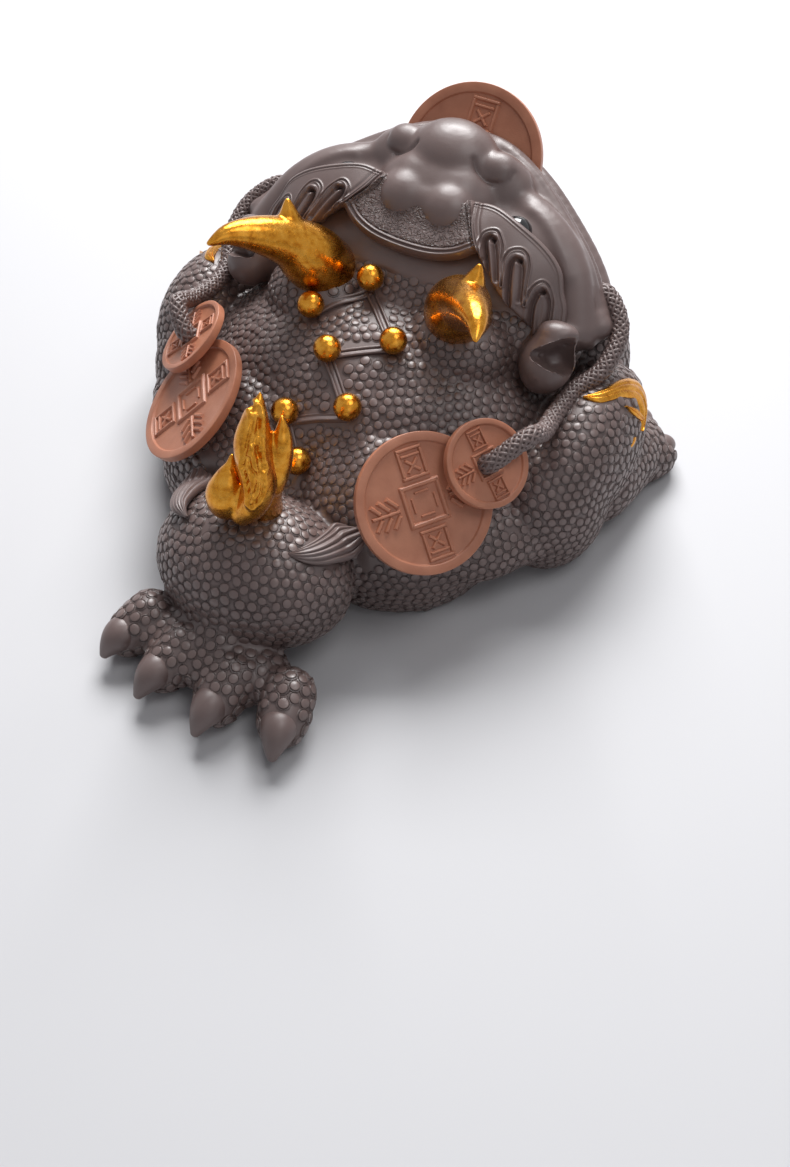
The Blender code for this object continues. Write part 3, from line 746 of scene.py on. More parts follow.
# %% Model the claws
CLAW_PROFILE = (
    (0, 2.2), (0.06, 3.5), (0.16, 4.3), (0.35, 4.25), (0.55, 3.55), (0.75, 2.45), (0.9, 1.45),
    (0.97, 0.95), (1, 0.35),
)
CLAW_ARCH, FORE_CLAW_SCALE = 1.6, 0.82
claw_rows = through(CLAW_PROFILE, 5)
claw_parts = []
share = claw_rows[:, :1]
arch = np.array([0, 0, 1.0]) * CLAW_ARCH * np.sin(math.pi * share)
for root, tip in toes:
    scale = 1.0 if tip[1] > 0 else FORE_CLAW_SCALE
    start = root + (tip - root) * 0.42 + (0, 0, 1.5)
    end = tip + (0, 0, 0.3)
    path = start * (1 - share) + end * share + arch
    claw_parts.append(tube(path, np.maximum(claw_rows[:, 1], 0.3) * scale, 28))
claws = mesh_object("clay_claws", *joined(claw_parts))
claw_points = points_of(claws)
claw_points[:, 2] = np.maximum(claw_points[:, 2], 0.15)
set_points(claws, claw_points)
print("claws:", len(claw_parts))

# %% [markdown]
# ## Horns
# The two horns are smooth: a broad foot, a long tip that sweeps back and outward, and one spike.
# A row of shrinking balls gives the taper, and a fine Remesh with much smoothing hides the balls.

# %% Model the horns
HORN = (
    (19.5, -33.5, 53, 8.6), (21, -30, 58.5, 8.4), (24, -26.5, 64, 6.6), (29, -20, 69.5, 4.8),
    (33.5, -13.5, 72.5, 2.8), (36, -8, 72.5, 0.9),
)
HORN_SPIKE = ((24, -27, 64, 4.6), (25.5, -28, 69.5, 3.1), (26.5, -29, 75, 0.9))
horns = []
for name, side in SIDES:
    parts = limb(mirrored(HORN, side), 12) + limb(mirrored(HORN_SPIKE, side), 12)
    horns.append(fused("gilt_" + name + "_horn", parts, 0.5, 14))
print("horn:", len(horns[0].data.polygons), "faces")

# %% [markdown]
# ## The tail flame
# The flame on the rump is a cluster of tongues with deep flowing grooves. The tongues are fused,
# then each groove is snapped to the skin and carved twice: a narrow cut and a broad swell that
# rounds its banks. A turned copy carves the far face.

# %% Model the flame
FLAME = (
    (
        (-0.8, 27, 69.2, 0.5), (-1.1, 28, 67.6, 1.2), (-1.3, 29.5, 65.3, 2.3),
        (-1.2, 31, 61.8, 3.7), (-1.5, 32.5, 58.2, 4.4), (-2.7, 34, 54.8, 4.3),
        (-3.8, 35, 51, 4.1), (-4.2, 36, 47.4, 3.8), (-2.9, 37, 43.2, 3.5), (-0.4, 37.5, 39.5, 3),
    ),
    (
        (4.3, 33, 52.6, 0.5), (3.8, 34.5, 50.5, 1.4), (3.6, 36, 48, 3.1), (4.1, 37, 43.8, 4.7),
        (4.3, 36.6, 41, 4.9),
    ),
    (
        (-5.4, 26, 63.5, 0.5), (-6, 27, 61.5, 1.3), (-6.6, 28.2, 58.6, 2.3),
        (-6.7, 29.3, 54.4, 2.7), (-6.3, 30.5, 50, 2.7), (-5.6, 31.5, 46, 2.5),
    ),
    ((-1, 29, 31, 4), (-1.5, 31, 38, 4.5), (-3, 31.5, 45, 4.2), (-4, 30, 52, 3.8), (-3.5, 29.5, 57, 3)),
)
GROOVES = (
    ((-2.3, 31, 70), (-2.9, 35, 67.6), (-2.6, 37.5, 63.5), (-2.5, 38.5, 60.2), (-2.3, 39, 57.3)),
    ((-4.6, 32, 70.4), (-5.8, 34.5, 68.6), (-5.7, 36.8, 66), (-5, 37.2, 63.8)),
    (
        (-6.1, 33, 69), (-6.7, 36, 65.8), (-7, 38, 63.1), (-8.8, 38.5, 62.3), (-10.7, 38.5, 60.7),
        (-11.6, 38.5, 57.9),
    ),
    ((-3.6, 38, 59.7), (-4.6, 39, 57.3), (-7, 40, 56.3), (-7.6, 40.5, 53.8), (-6.1, 41, 50.8)),
    ((-2.9, 38.5, 56.5), (-3.6, 40, 53.4), (-4.4, 41, 49.9), (-5.9, 41, 48.7)),
    (
        (-8.1, 38, 63.6), (-7.9, 38.5, 60.8), (-9.4, 39.5, 58.4), (-10, 40, 55.3),
        (-8.4, 40.5, 50.9), (-5.2, 41, 46.9),
    ),
    ((-2, 39.5, 57.1), (-3.5, 40.5, 54.9), (-4.2, 41.5, 51.9), (-4.1, 42, 48)),
    ((-8, 34, 69.3), (-9, 36, 65.4), (-9.4, 37.5, 61.6)),
)
FLAME_TURN = np.array([-3, 64])
FLAME_CUTS = ((-1.15, 0.45), (0.4, 1.3))
flame_parts = []
for tongue in FLAME:
    flame_parts += limb(tongue, 12)
flame = fused("gilt_tail_flame", flame_parts, 0.4, 8)
flame_tree = tree_of(flame)
flame_strokes = []
for groove in GROOVES:
    for flip in (False, True):
        rows = through([(*(FLAME_TURN - (x, y)), z) if flip else (x, y, z) for x, y, z in groove])
        snapped = np.array([flame_tree.find_nearest(Vector(row))[0] for row in rows])
        flame_strokes += [(snapped, depth, width) for depth, width in FLAME_CUTS]
carve(flame, flame_strokes)
print("flame:", len(flame.data.polygons), "faces")

# %% [markdown]
# ## Star beads and the bars between them
# Seven gilt beads stand on the back, joined in order by pairs of fine raised lines. Each bead
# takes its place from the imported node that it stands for.

# %% Model the beads and bars
BEAD_RADIUS = 3.5
BAR_RADIUS, BAR_APART = 0.42, 0.95


def round_ball(name, centre, radius):
    """A fine sphere, built at the origin and then moved point by point."""
    bpy.ops.mesh.primitive_uv_sphere_add(segments=48, ring_count=24, radius=1)
    obj = bpy.context.object
    obj.name = name
    set_points(obj, points_of(obj) * MM * radius + centre)
    obj.data.shade_smooth()
    return obj


bead_centres = [packed_middle(f"star_bead_{number}") for number in range(1, 8)]
beads = []
for number, centre in enumerate(bead_centres, start=1):
    beads.append(round_ball(f"gilt_star_bead_{number}", centre, BEAD_RADIUS))
body_tree = tree_of(body)
down = Vector((0, 0, -1))
bar_parts, bar_lines = [], []
for start, end in zip(bead_centres, bead_centres[1:]):
    run = even(np.array([start, end]), 0.7)
    sideways = unit(np.cross(end - start, (0, 0, 1)))
    line = np.array([body_tree.ray_cast(Vector((x, y, 200)), down)[0] for x, y, _ in run])
    bar_lines.append(line)
    for shift in (-BAR_APART, BAR_APART):
        bar_parts.append(tube(line + sideways * shift + (0, 0, 0.3), BAR_RADIUS, 8))
    bar_parts.append(tube(line - (0, 0, 0.75), 1.05, 8))
bars = mesh_object("clay_star_bars", *joined(bar_parts))
print("beads:", len(beads), "bars:", len(bar_lines))

# %% [markdown]
# ## Ribbons that follow the skin
# The hip tufts and the knee flames are flat tongues with ridges along them. A ribbon is a grid
# between two edge lines; its height over the skin is a crown with ridges across it.

# %% Ribbon tool


def ribbon(edges, columns, height, snap=None):
    """A closed tongue through several edge lines, raised by height(share across, share along)."""
    runs = [through(edge, 10) for edge in edges]
    rows = len(runs[0])
    stack = np.array(runs)
    places = np.linspace(0, len(edges) - 1, columns)
    low = np.clip(places.astype(int), 0, len(edges) - 2)
    blend = (places - low)[:, None, None]
    grid = (stack[low] * (1 - blend) + stack[low + 1] * blend).transpose(1, 0, 2)
    if snap is None:
        along = np.gradient(grid, axis=0)
        across = np.gradient(grid, axis=1)
        normal = unit(np.cross(along, across) + 1e-9)
        if normal.reshape(-1, 3).mean(0)[2] < 0:
            normal = -normal
    else:
        found = [snap.find_nearest(Vector(point)) for point in grid.reshape(-1, 3)]
        grid = np.array([hit[0] for hit in found]).reshape(grid.shape)
        normal = np.array([hit[1] for hit in found]).reshape(grid.shape)
    s = np.linspace(0, 1, columns)[None, :]
    t = np.linspace(0, 1, rows)[:, None]
    raised = height(s, t)
    top = grid + normal * raised[..., None]
    bottom = grid - normal * 1.0 + normal * np.minimum(raised + 0.5, 0)[..., None]
    section = np.concatenate([top, bottom[:, ::-1]], axis=1)
    count = section.shape[1]
    faces = grid_faces(rows, count, True)
    faces += [tuple(reversed(range(count))), tuple(range((rows - 1) * count, rows * count))]
    return section.reshape(-1, 3), faces


print("ribbon tool ready")

# %% [markdown]
# The tuft's hairs sweep in an S from under the large coin to a point on the thigh.

# %% Hip tufts
TUFT_EDGES = (
    (
        (-17.1, 20.1, 29.2), (-15.4, 23.5, 29.5), (-15.6, 27.5, 30.8), (-15.4, 31.5, 32),
        (-14.6, 35, 33), (-12.5, 38, 32.6),
    ),
    (
        (-20.5, 21, 29.8), (-18, 24.5, 28.7), (-17.8, 28.5, 30.2), (-17, 32.5, 31.7),
        (-15.4, 35.8, 32.8), (-12.5, 38.1, 32.5),
    ),
    (
        (-23.3, 22, 28.8), (-20.8, 26, 27.4), (-19.9, 30, 29), (-18.3, 34, 30.7), (-16, 36.8, 32),
        (-12.6, 38.2, 32.4),
    ),
    (
        (-25.2, 23, 26), (-23.3, 27, 25.2), (-21.8, 31.2, 27.4), (-19.7, 35, 29.2),
        (-16.6, 37.6, 31), (-12.7, 38.3, 32.2),
    ),
)


def tuft_height(s, t):
    """A crown with six ridges; the root dips under the skin."""
    crown = 0.9 * np.sin(math.pi * s) * (1 - t**3)
    ridges = 0.75 * np.abs(np.sin(6 * math.pi * s)) ** 0.7 * (1 - t**2)
    return crown + ridges - 3.2 * (1 - step_up(t, -0.05, 0.2))


tuft_parts = []
for side in (-1, 1):
    edges = [[(x, y, z) if side < 0 else (2 - x, y + 2, z) for x, y, z in edge] for edge in TUFT_EDGES]
    tuft_parts.append(ribbon(edges, 71, tuft_height))
tufts = outward_faces(mesh_object("clay_hip_tufts", *joined(tuft_parts)))
print("tufts:", len(tufts.data.polygons), "faces")

# %% [markdown]
# The knee flames are the same kind of tongue, gilded, with two slit lines.

# %% Knee flames
KNEE_EDGES = (
    (
        (
            (54.7, -32.9, 40.9), (57.6, -38.7, 40.8), (59.7, -46.8, 38.4), (61.6, -53, 33),
            (64.5, -53, 29.1), (67, -47, 27), (67.9, -42.1, 27.7),
        ),
        (
            (54.7, -32.9, 40.9), (59, -34.4, 40.2), (62.4, -41.5, 37.2), (64.6, -45.4, 33.6),
            (66.2, -45, 30.8), (67.2, -43, 29.2), (67.9, -41.9, 27.9),
        ),
    ),
    (
        ((63.6, -38.9, 37.2), (64.5, -41.1, 35.7), (65.8, -43.6, 33), (66.8, -45.2, 29.8)),
        ((63.6, -38.9, 37.2), (65.3, -40.1, 34.7), (66.4, -41.5, 32.3), (67.2, -43.6, 29.6)),
    ),
)


def knee_height(s, t):
    """A rounded band with two slit lines."""
    band = 1.15 * np.sin(math.pi * s) ** 0.6 * (1 - 0.2 * t)
    return band - 0.4 * bell(s - 0.36, 0.05) - 0.4 * bell(s - 0.66, 0.05)


knee_parts = []
for _, side in SIDES:
    for edges in KNEE_EDGES:
        placed = [mirrored(edge, side) for edge in edges]
        knee_parts.append(ribbon(placed, 31, knee_height, body_tree))
for _, side in SIDES:
    knee_parts.append(ball((67.7 * side, -36.8, 28.4), (0.8, 2.2, 1.2)))
knee_flames = outward_faces(mesh_object("gilt_knee_flames", *joined(knee_parts)))
print("knee flames:", len(knee_parts))

# %% [markdown]
# ## Pebbled skin
# Most of the body is stamped with small round pebbles, packed as close as they will go. The places
# are found by throwing darts: a place is kept if no earlier one is too near. A few rounds of
# pushing neighbours apart then evens the packing.

# %% Find the pebble places
PITCH_ACROSS = 2.5
FOOT_SHARE = 1.1
BARE_BASE, CLEAR_OF_BARS, CLEAR_OF_BEADS = 1.2, 2.6, 3.6
DART_REACH, CELL = 0.775, 3
seeded = np.random.default_rng(11)
body_points = points_of(body)
head_tree = tree_of(skull)
covered = [(head_tree, 0.0)]
covered += [(tree_of(piece), 0.5) for piece in (*brows, crest, claws, tufts, knee_flames, *horns)]
flat_bars = np.concatenate(bar_lines)


def open_skin(point):
    """True where the skin shows: above the base, clear of bars and outside the other pieces."""
    if point[2] < BARE_BASE or np.min(np.linalg.norm(flat_bars - point, axis=1)) < CLEAR_OF_BARS:
        return False
    if min(np.linalg.norm(centre - point) for centre in bead_centres) < CLEAR_OF_BEADS:
        return False
    for tree, clearance in covered:
        place, normal, _, gap = tree.find_nearest(Vector(point), 6.0)
        if place is not None and ((Vector(point) - place).dot(normal) < 0 or gap < clearance):
            return False
    return True


def spread(point):
    """The wanted pitch: the toes carry bigger pebbles."""
    on_foot = point[1] > 50 or (point[1] < -54 and point[2] < 16)
    return PITCH_ACROSS * (FOOT_SHARE if on_foot else 1.0)


cells, places = {}, []
for index in seeded.permutation(len(body_points)):
    point = body_points[index]
    reach = spread(point) * DART_REACH
    key = tuple((point // CELL).astype(int))
    nearby = [
        other
        for dx in (-1, 0, 1)
        for dy in (-1, 0, 1)
        for dz in (-1, 0, 1)
        for other in cells.get((key[0] + dx, key[1] + dy, key[2] + dz), ())
    ]
    if nearby and min(np.linalg.norm(np.array(nearby) - point, axis=1)) < reach:
        continue
    cells.setdefault(key, []).append(tuple(point))
    places.append(point)
places = np.array(places)
print("darts kept:", len(places))

# %% [markdown]
# The places are pushed apart, put back on the skin and then thinned to the skin that shows.

# %% Even out the packing
ROUNDS, PUSH_REACH, PUSH = 16, 1.06, 0.25


def lookup_of(rows):
    """A search tree over points, for the neighbours of each."""
    tree = kdtree.KDTree(len(rows))
    for index, point in enumerate(rows):
        tree.insert(point, index)
    tree.balance()
    return tree


for _ in range(ROUNDS):
    lookup = lookup_of(places)
    pushed = places.copy()
    for index, point in enumerate(places):
        wanted = spread(point) * PUSH_REACH
        for other, _, gap in lookup.find_n(point, 7)[1:]:
            if gap < wanted:
                pushed[index] += (point - np.array(other)) / max(gap, 0.1) * (wanted - gap) * PUSH
    places = np.array([body_tree.find_nearest(Vector(point))[0] for point in pushed])
places = np.array([point for point in places if open_skin(point)])
lookup = lookup_of(places)
gaps = [np.mean([hit[2] for hit in lookup.find_n(point, 5)[1:4]]) for point in places]
pebble_radii = np.clip(np.array(gaps) * 0.5, 0.85, 1.5)
print("pebbles:", len(places), "mean radius", pebble_radii.mean().round(2))

# %% [markdown]
# One pebble is a nearly flat disc inside a groove, with a thin rim round it, as a tube stamp
# leaves it. Its copies are scaled, turned to the skin and gathered into pieces of 2000. Their own
# UV runs from the middle to the edge, which lets the material deepen the groove with a bump and
# darken it with painted shade.

# %% Make the pebbles
PEBBLE_PROFILE = ((1.2, -0.2), (1.12, 0.14), (0.98, -0.14), (0.87, 0.2), (0.76, 0.25))
PEBBLE_TOP, PEBBLE_SIDES = 0.27, 10
CHUNK = 2000
turns = np.arange(PEBBLE_SIDES) * 2 * math.pi / PEBBLE_SIDES
template = [(r * math.cos(a), r * math.sin(a), z) for r, z in PEBBLE_PROFILE for a in turns]
template = np.array([*template, (0, 0, PEBBLE_TOP)])
template_faces = grid_faces(len(PEBBLE_PROFILE), PEBBLE_SIDES, True)
top = (len(PEBBLE_PROFILE) - 1) * PEBBLE_SIDES
middle = len(template) - 1
template_faces += [(top + j, top + (j + 1) % PEBBLE_SIDES, middle) for j in range(PEBBLE_SIDES)]
template_faces.append(tuple(reversed(range(PEBBLE_SIDES))))
pebble_pieces = []
for start in range(0, len(places), CHUNK):
    parts, marks = [], []
    for point, radius in zip(places[start : start + CHUNK], pebble_radii[start : start + CHUNK]):
        normal = np.array(body_tree.find_nearest(Vector(point))[1])
        normal = unit(normal + seeded.normal(0, 0.05, 3))
        across = unit(np.cross(normal, (0.37, 0.61, 0.7)))
        other = np.cross(normal, across)
        turn = seeded.uniform(0, 2 * math.pi)
        first = across * math.cos(turn) + other * math.sin(turn)
        second = np.cross(normal, first)
        squash = seeded.uniform(0.92, 1.06)
        tall = radius * seeded.uniform(0.85, 1.1)
        shaped = template * (radius * squash, radius / squash, tall)
        parts.append((point + shaped @ np.array([first, second, normal]), template_faces))
        marks.append(template[:, :2])
    pebbles = mesh_object(f"clay_pebbles_{len(pebble_pieces) + 1}", *joined(parts))
    flat = np.concatenate(marks)
    corners = np.empty(len(pebbles.data.loops), np.int32)
    pebbles.data.loops.foreach_get("vertex_index", corners)
    ring_map = pebbles.data.uv_layers.new(name="ring").data
    ring_map.foreach_set("uv", flat[corners].astype(np.float32).ravel())
    pebble_pieces.append(pebbles)
print("pebble pieces:", len(pebble_pieces))

# %% [markdown]
# ## Braided ropes
# A rope leaves each corner of the mouth, passes over the shoulder and ends in the small coin's
# hole. It is one clay roll on the real figure, pressed with a braid: strands wind both ways round
# a core and pass over and under each other. It is rigid, so it isn't a free cord.

# %% Model the ropes
ROPE = (
    (43, -58, 51), (49, -59, 53), (55.5, -53, 48), (55.5, -43, 43), (51.5, -35, 40.5),
    (50.5, -26, 40), (51, -17, 42), (50, -10, 46),
)
SMALL_FACING = unit(np.array([0.60, 0.30, 0.74]))
ROPE_STEP, CORE_RADIUS = 0.45, 1.95
STRANDS, STRAND_RADIUS, STRAND_REACH = 8, 0.46, 1.92
BRAID_PITCH, WEAVE = 13, 0.17
ropes = []
for name, side in SIDES:
    coin_middle = packed_middle(name + "_small_coin")
    facing = SMALL_FACING * (side, 1, 1)
    knots = [*mirrored(ROPE, side), coin_middle + facing * 3.2, coin_middle - facing * 0.9]
    path = even(through(knots, 12), ROPE_STEP)
    _, across, other = frames_along(path)
    angles = np.arange(len(path)) * ROPE_STEP * 2 * math.pi / BRAID_PITCH
    parts = [tube(path, CORE_RADIUS, 14)]
    for strand in range(STRANDS):
        for way in (1, -1):
            angle = way * angles + strand * 2 * math.pi / STRANDS
            weave = WEAVE * way * np.cos(angles * STRANDS + strand * math.pi)
            reach = (STRAND_REACH + weave)[:, None]
            line = path + (across * np.cos(angle)[:, None] + other * np.sin(angle)[:, None]) * reach
            parts.append(tube(line, STRAND_RADIUS, 6))
    ropes.append(mesh_object("clay_" + name + "_rope", *joined(parts)))
print("rope:", len(ropes[0].data.polygons), "faces")

# %% [markdown]
# ## Coins
# The coins are thin discs of red clay with a broad flat rim, a sunk field and a square in the
# middle. A cylinder is inset and its middle pushed down, then a Bevel rounds every edge. Raised
# bars make the frame and a plain leaf spray on each side of it.

# %% Coin tools


THICKNESS, RIM_SHARE, FIELD_SUNK = 2.2, 0.13, 0.6


def select_faces(obj, test):
    """Goes to edit mode with only the faces selected whose normal passes the test."""
    bpy.ops.object.mode_set(mode="OBJECT")
    for face in obj.data.polygons:
        face.select = bool(test(face.normal))
    for edge in obj.data.edges:
        edge.select = False
    for vert in obj.data.vertices:
        vert.select = False
    chosen = [face.index for face in obj.data.polygons if face.select]
    for index in chosen:
        for vertex in obj.data.polygons[index].vertices:
            obj.data.vertices[vertex].select = True
    bpy.ops.object.mode_set(mode="EDIT")
    bpy.ops.mesh.select_mode(type="FACE")


def coin_blank(name, radius, both):
    """A disc with a flat rim and a sunk field on one side or both."""
    bpy.ops.mesh.primitive_cylinder_add(vertices=128, radius=radius * MM, depth=THICKNESS * MM)
    coin = bpy.context.object
    coin.name = name
    for sign in (1, -1) if both else (1,):
        select_faces(coin, lambda normal, sign=sign: normal.z * sign > 0.9)
        bpy.ops.mesh.inset(thickness=radius * RIM_SHARE * MM, depth=0)
        bpy.ops.mesh.inset(thickness=0.25 * MM, depth=-FIELD_SUNK * MM)
        bpy.ops.mesh.inset(thickness=radius * 0.3 * MM, depth=0)
        bpy.ops.object.mode_set(mode="OBJECT")
    round_edges = coin.modifiers.new("round_edges", "BEVEL")
    round_edges.width = 0.22 * MM
    round_edges.segments = 3
    round_edges.limit_method = "ANGLE"
    round_edges.angle_limit = math.radians(35)
    apply_modifiers(coin)
    coin.data.shade_smooth()
    return coin


def turned(x, y, angle):
    cosine, sine = math.cos(angle), math.sin(angle)
    return x * cosine - y * sine, x * sine + y * cosine


def bar(x, y, length, width, angle, height, low):
    """A small raised bar with sloping sides and a rounded top."""
    rows = []
    for inset, z in ((0, low), (width * 0.16, low + height * 0.7), (width * 0.32, low + height)):
        a, b = length / 2 - inset, width / 2 - inset
        for cx, cy in ((-a, -b), (a, -b), (a, b), (-a, b)):
            turned_x, turned_y = turned(cx, cy, angle)
            rows.append((turned_x + x, turned_y + y, z))
    return np.array(rows), [*grid_faces(3, 4, True), (3, 2, 1, 0), (8, 9, 10, 11)]


print("coin tools ready")

# %% [markdown]
# The marks round the square are ornament only. Each is a stem with slanting leaves, or a small
# lattice, and the two kinds take turns round the coin. A row is one bar: its place, length, slant
# in degrees and width, as shares of the coin's radius.

# %% Coin marks
MARK_PLACE, MARK_HEIGHT = 0.585, 0.65
SPRAY = (
    (0, 0, 0.44, 90, 0.06),
    (-0.11, 0.13, 0.2, 140, 0.075),
    (0.11, 0.13, 0.2, 40, 0.075),
    (-0.13, 0, 0.23, 140, 0.075),
    (0.13, 0, 0.23, 40, 0.075),
    (-0.14, -0.13, 0.22, 140, 0.075),
    (0.14, -0.13, 0.22, 40, 0.075),
)
LATTICE = (
    (0, 0.2, 0.4, 0, 0.06),
    (0, 0.11, 0.3, 0, 0.05),
    (0, -0.2, 0.42, 0, 0.06),
    (-0.17, 0, 0.38, 90, 0.06),
    (0.17, 0, 0.38, 90, 0.06),
    (0, -0.04, 0.27, 45, 0.055),
    (0, -0.04, 0.27, -45, 0.055),
)


def coin_marks(radius, top, low):
    """Frame, inner bars and four marks, as parts that stand on the sunk field."""
    parts = []
    height = top - low
    square = radius * 0.27
    for quarter in range(4):
        turn = quarter * math.pi / 2
        for reach, length, width, rise in ((1, 2.25, 0.085, 1), (0.62, 0.8, 0.035, 0.8)):
            x, y = turned(0, square * reach, turn)
            parts.append(bar(x, y, square * length, radius * width, turn, height * rise, low))
    for quarter in range(4):
        turn = quarter * math.pi / 2
        for x, y, length, slant, width in SPRAY if quarter % 2 else LATTICE:
            x, y = turned(x * radius, (y + MARK_PLACE) * radius, turn)
            angle = math.radians(slant) + turn
            parts.append(bar(x, y, length * radius, radius * width, angle, height, low))
    return parts


# %% [markdown]
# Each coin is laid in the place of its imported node: the middle of that node's box, turned to the
# direction that the coin faces.

# %% Make the five coins
LARGE_RADIUS, SMALL_RADIUS, MOUTH_RADIUS = 17.0, 10.8, 20.1
MOUTH_PITCH = math.radians(52)
coins = []


def coin_axes(direction):
    return np.array(Vector(direction).to_track_quat("Z", "Y").to_matrix())


def lay_coin(name, radius, axes, both):
    """Joins the marks to a blank and moves the coin's points to its packed place."""
    coin = coin_blank("red_" + name, radius, both)
    half = THICKNESS / 2
    parts = coin_marks(radius, half, half - MARK_HEIGHT)
    if both:
        parts += [(points * (-1, 1, -1), faces) for points, faces in parts]
    marks = mesh_object("marks", *joined(parts))
    only(coin)
    marks.select_set(True)
    bpy.ops.object.join()
    set_points(coin, points_of(coin) @ axes.T + packed_middle(name))
    only(coin)
    bpy.ops.object.shade_smooth_by_angle(angle=math.radians(32))
    coins.append((coin, name))


for name, side in SIDES:
    lay_coin(name + "_large_coin", LARGE_RADIUS, coin_axes((0.54 * side, 0.40, 0.74)), False)
    lay_coin(name + "_small_coin", SMALL_RADIUS, coin_axes((0.60 * side, 0.30, 0.74)), False)
cosine, sine = math.cos(MOUTH_PITCH), math.sin(MOUTH_PITCH)
mouth_axes = np.array([[1, 0, 0], [0, cosine, sine], [0, -sine, cosine]])
lay_coin("mouth_coin", MOUTH_RADIUS, mouth_axes, True)
print("coins:", len(coins))

# %% [markdown]
# ## Eyes
# Under each brow plate sits a small black glazed ball. It stands a little deeper in the head than
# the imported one, so that the plate shades it.

# %% Model the eyes
EYE_RADIUS = 4.3
SEAT = -0.9 * FORWARD - 0.7 * UPWARD
eyes = []
for name, _ in SIDES:
    eye = round_ball("glazed_" + name + "_eye", packed_middle(name + "_eye") + SEAT, EYE_RADIUS)
    eyes.append((eye, name))
print("eyes:", len(eyes))

# %% [markdown]
# ## Materials
# Every finish is a procedural Principled material that reads Object coordinates, so the grain has
# one scale over all the pieces. The clay is a purple stoneware, rubbed until it has a soft sheen.

# %% Material helpers


class Finish:
    """A material with short calls to add and join nodes."""

    def __init__(self, name, colour, roughness, metallic=0.0):
        self.material = bpy.data.materials.new(name)
        self.material.use_nodes = True
        self.tree = self.material.node_tree
        self.shader = self.tree.nodes["Principled BSDF"]
        self.shader.inputs["Base Color"].default_value = (*colour, 1)
        self.shader.inputs["Roughness"].default_value = roughness
        self.shader.inputs["Metallic"].default_value = metallic
        self.place = self.node("ShaderNodeTexCoord").outputs["Object"]

    def node(self, kind, **settings):
        made = self.tree.nodes.new(kind)
        for key, value in settings.items():
            setattr(made, key, value)
        return made

    def join(self, output, socket):
        self.tree.links.new(output, socket)

    def noise(self, per_mm, detail=4.0, distortion=0.0):
        made = self.node("ShaderNodeTexNoise")
        made.inputs["Scale"].default_value = per_mm / MM
        made.inputs["Detail"].default_value = detail
        made.inputs["Distortion"].default_value = distortion
        self.join(self.place, made.inputs["Vector"])
        return made.outputs["Fac"]

    def ramp(self, value, *stops):
        made = self.node("ShaderNodeValToRGB")
        elements = made.color_ramp.elements
        while len(elements) < len(stops):
            elements.new(0.5)
        for element, (position, colour) in zip(elements, stops):
            element.position = position
            element.color = (*colour, 1) if len(colour) == 3 else colour
        self.join(value, made.inputs["Fac"])
        return made.outputs["Color"]

    def math(self, kind, first, second):
        made = self.node("ShaderNodeMath", operation=kind)
        for socket, value in zip(made.inputs, (first, second)):
            if isinstance(value, (int, float)):
                socket.default_value = value
            else:
                self.join(value, socket)
        return made.outputs[0]

    def bump(self, height, strength, distance, under=None):
        made = self.node("ShaderNodeBump")
        made.inputs["Strength"].default_value = strength
        made.inputs["Distance"].default_value = distance * MM
        self.join(height, made.inputs["Height"])
        if under is not None:
            self.join(under, made.inputs["Normal"])
        return made.outputs["Normal"]


print("finish helper ready")

# %% [markdown]
# The clay has a fine sandy grain, faint cloudy changes of tone, and a burnished film that is
# glossier on the head than between the pebbles.

# %% Clay materials


def grey(value):
    return (value, value, value)


def clay(name, dark, light, roughness, ring=0.0, stipple=False):
    """Clay between two tones, with a groove round each pebble darkened by painted shade, or a stippled
    field if wanted.
    """
    finish = Finish(name, light, roughness)
    cloud = finish.noise(0.09, 5)
    finish.join(finish.ramp(cloud, (0.3, dark), (0.7, light)), finish.shader.inputs["Base Color"])
    polish = finish.noise(0.35, 6)
    sheen = finish.ramp(polish, (0.3, grey(roughness - 0.07)), (0.75, grey(roughness + 0.09)))
    finish.join(sheen, finish.shader.inputs["Roughness"])
    finish.shader.inputs["Specular IOR Level"].default_value = 0.7
    finish.shader.inputs["Coat Weight"].default_value = 0.15
    finish.shader.inputs["Coat Roughness"].default_value = 0.4
    normal = finish.bump(finish.noise(3.2, 5), 0.22, 0.12)
    if ring:
        uv = finish.node("ShaderNodeUVMap", uv_map="ring")
        length = finish.node("ShaderNodeVectorMath", operation="LENGTH")
        finish.join(uv.outputs["UV"], length.inputs[0])
        # The groove ring also darkens the base colour: painted shade in each pebble's groove, on top of
        # its bump.
        stops = ((0.8, grey(1)), (0.9, grey(0)), (0.98, grey(0)), (1.0, grey(0.6)))
        groove = finish.ramp(length.outputs["Value"], *stops)
        shade = finish.node("ShaderNodeMix", data_type="RGBA", blend_type="MULTIPLY")
        shade.inputs["Factor"].default_value = 0.6
        finish.join(finish.shader.inputs["Base Color"].links[0].from_socket, shade.inputs["A"])
        finish.join(groove, shade.inputs["B"])
        finish.join(shade.outputs["Result"], finish.shader.inputs["Base Color"])
        normal = finish.bump(groove, ring, 0.22, normal)
    if stipple:
        mask = finish.node("ShaderNodeAttribute", attribute_name="stipple").outputs["Fac"]
        worms = finish.ramp(finish.noise(0.85, 2, 1.4), (0.42, grey(0)), (0.58, grey(1)))
        height = finish.math("MULTIPLY", mask, worms)
        normal = finish.bump(height, 1.0, 0.7, normal)
    finish.join(normal, finish.shader.inputs["Normal"])
    return finish.material


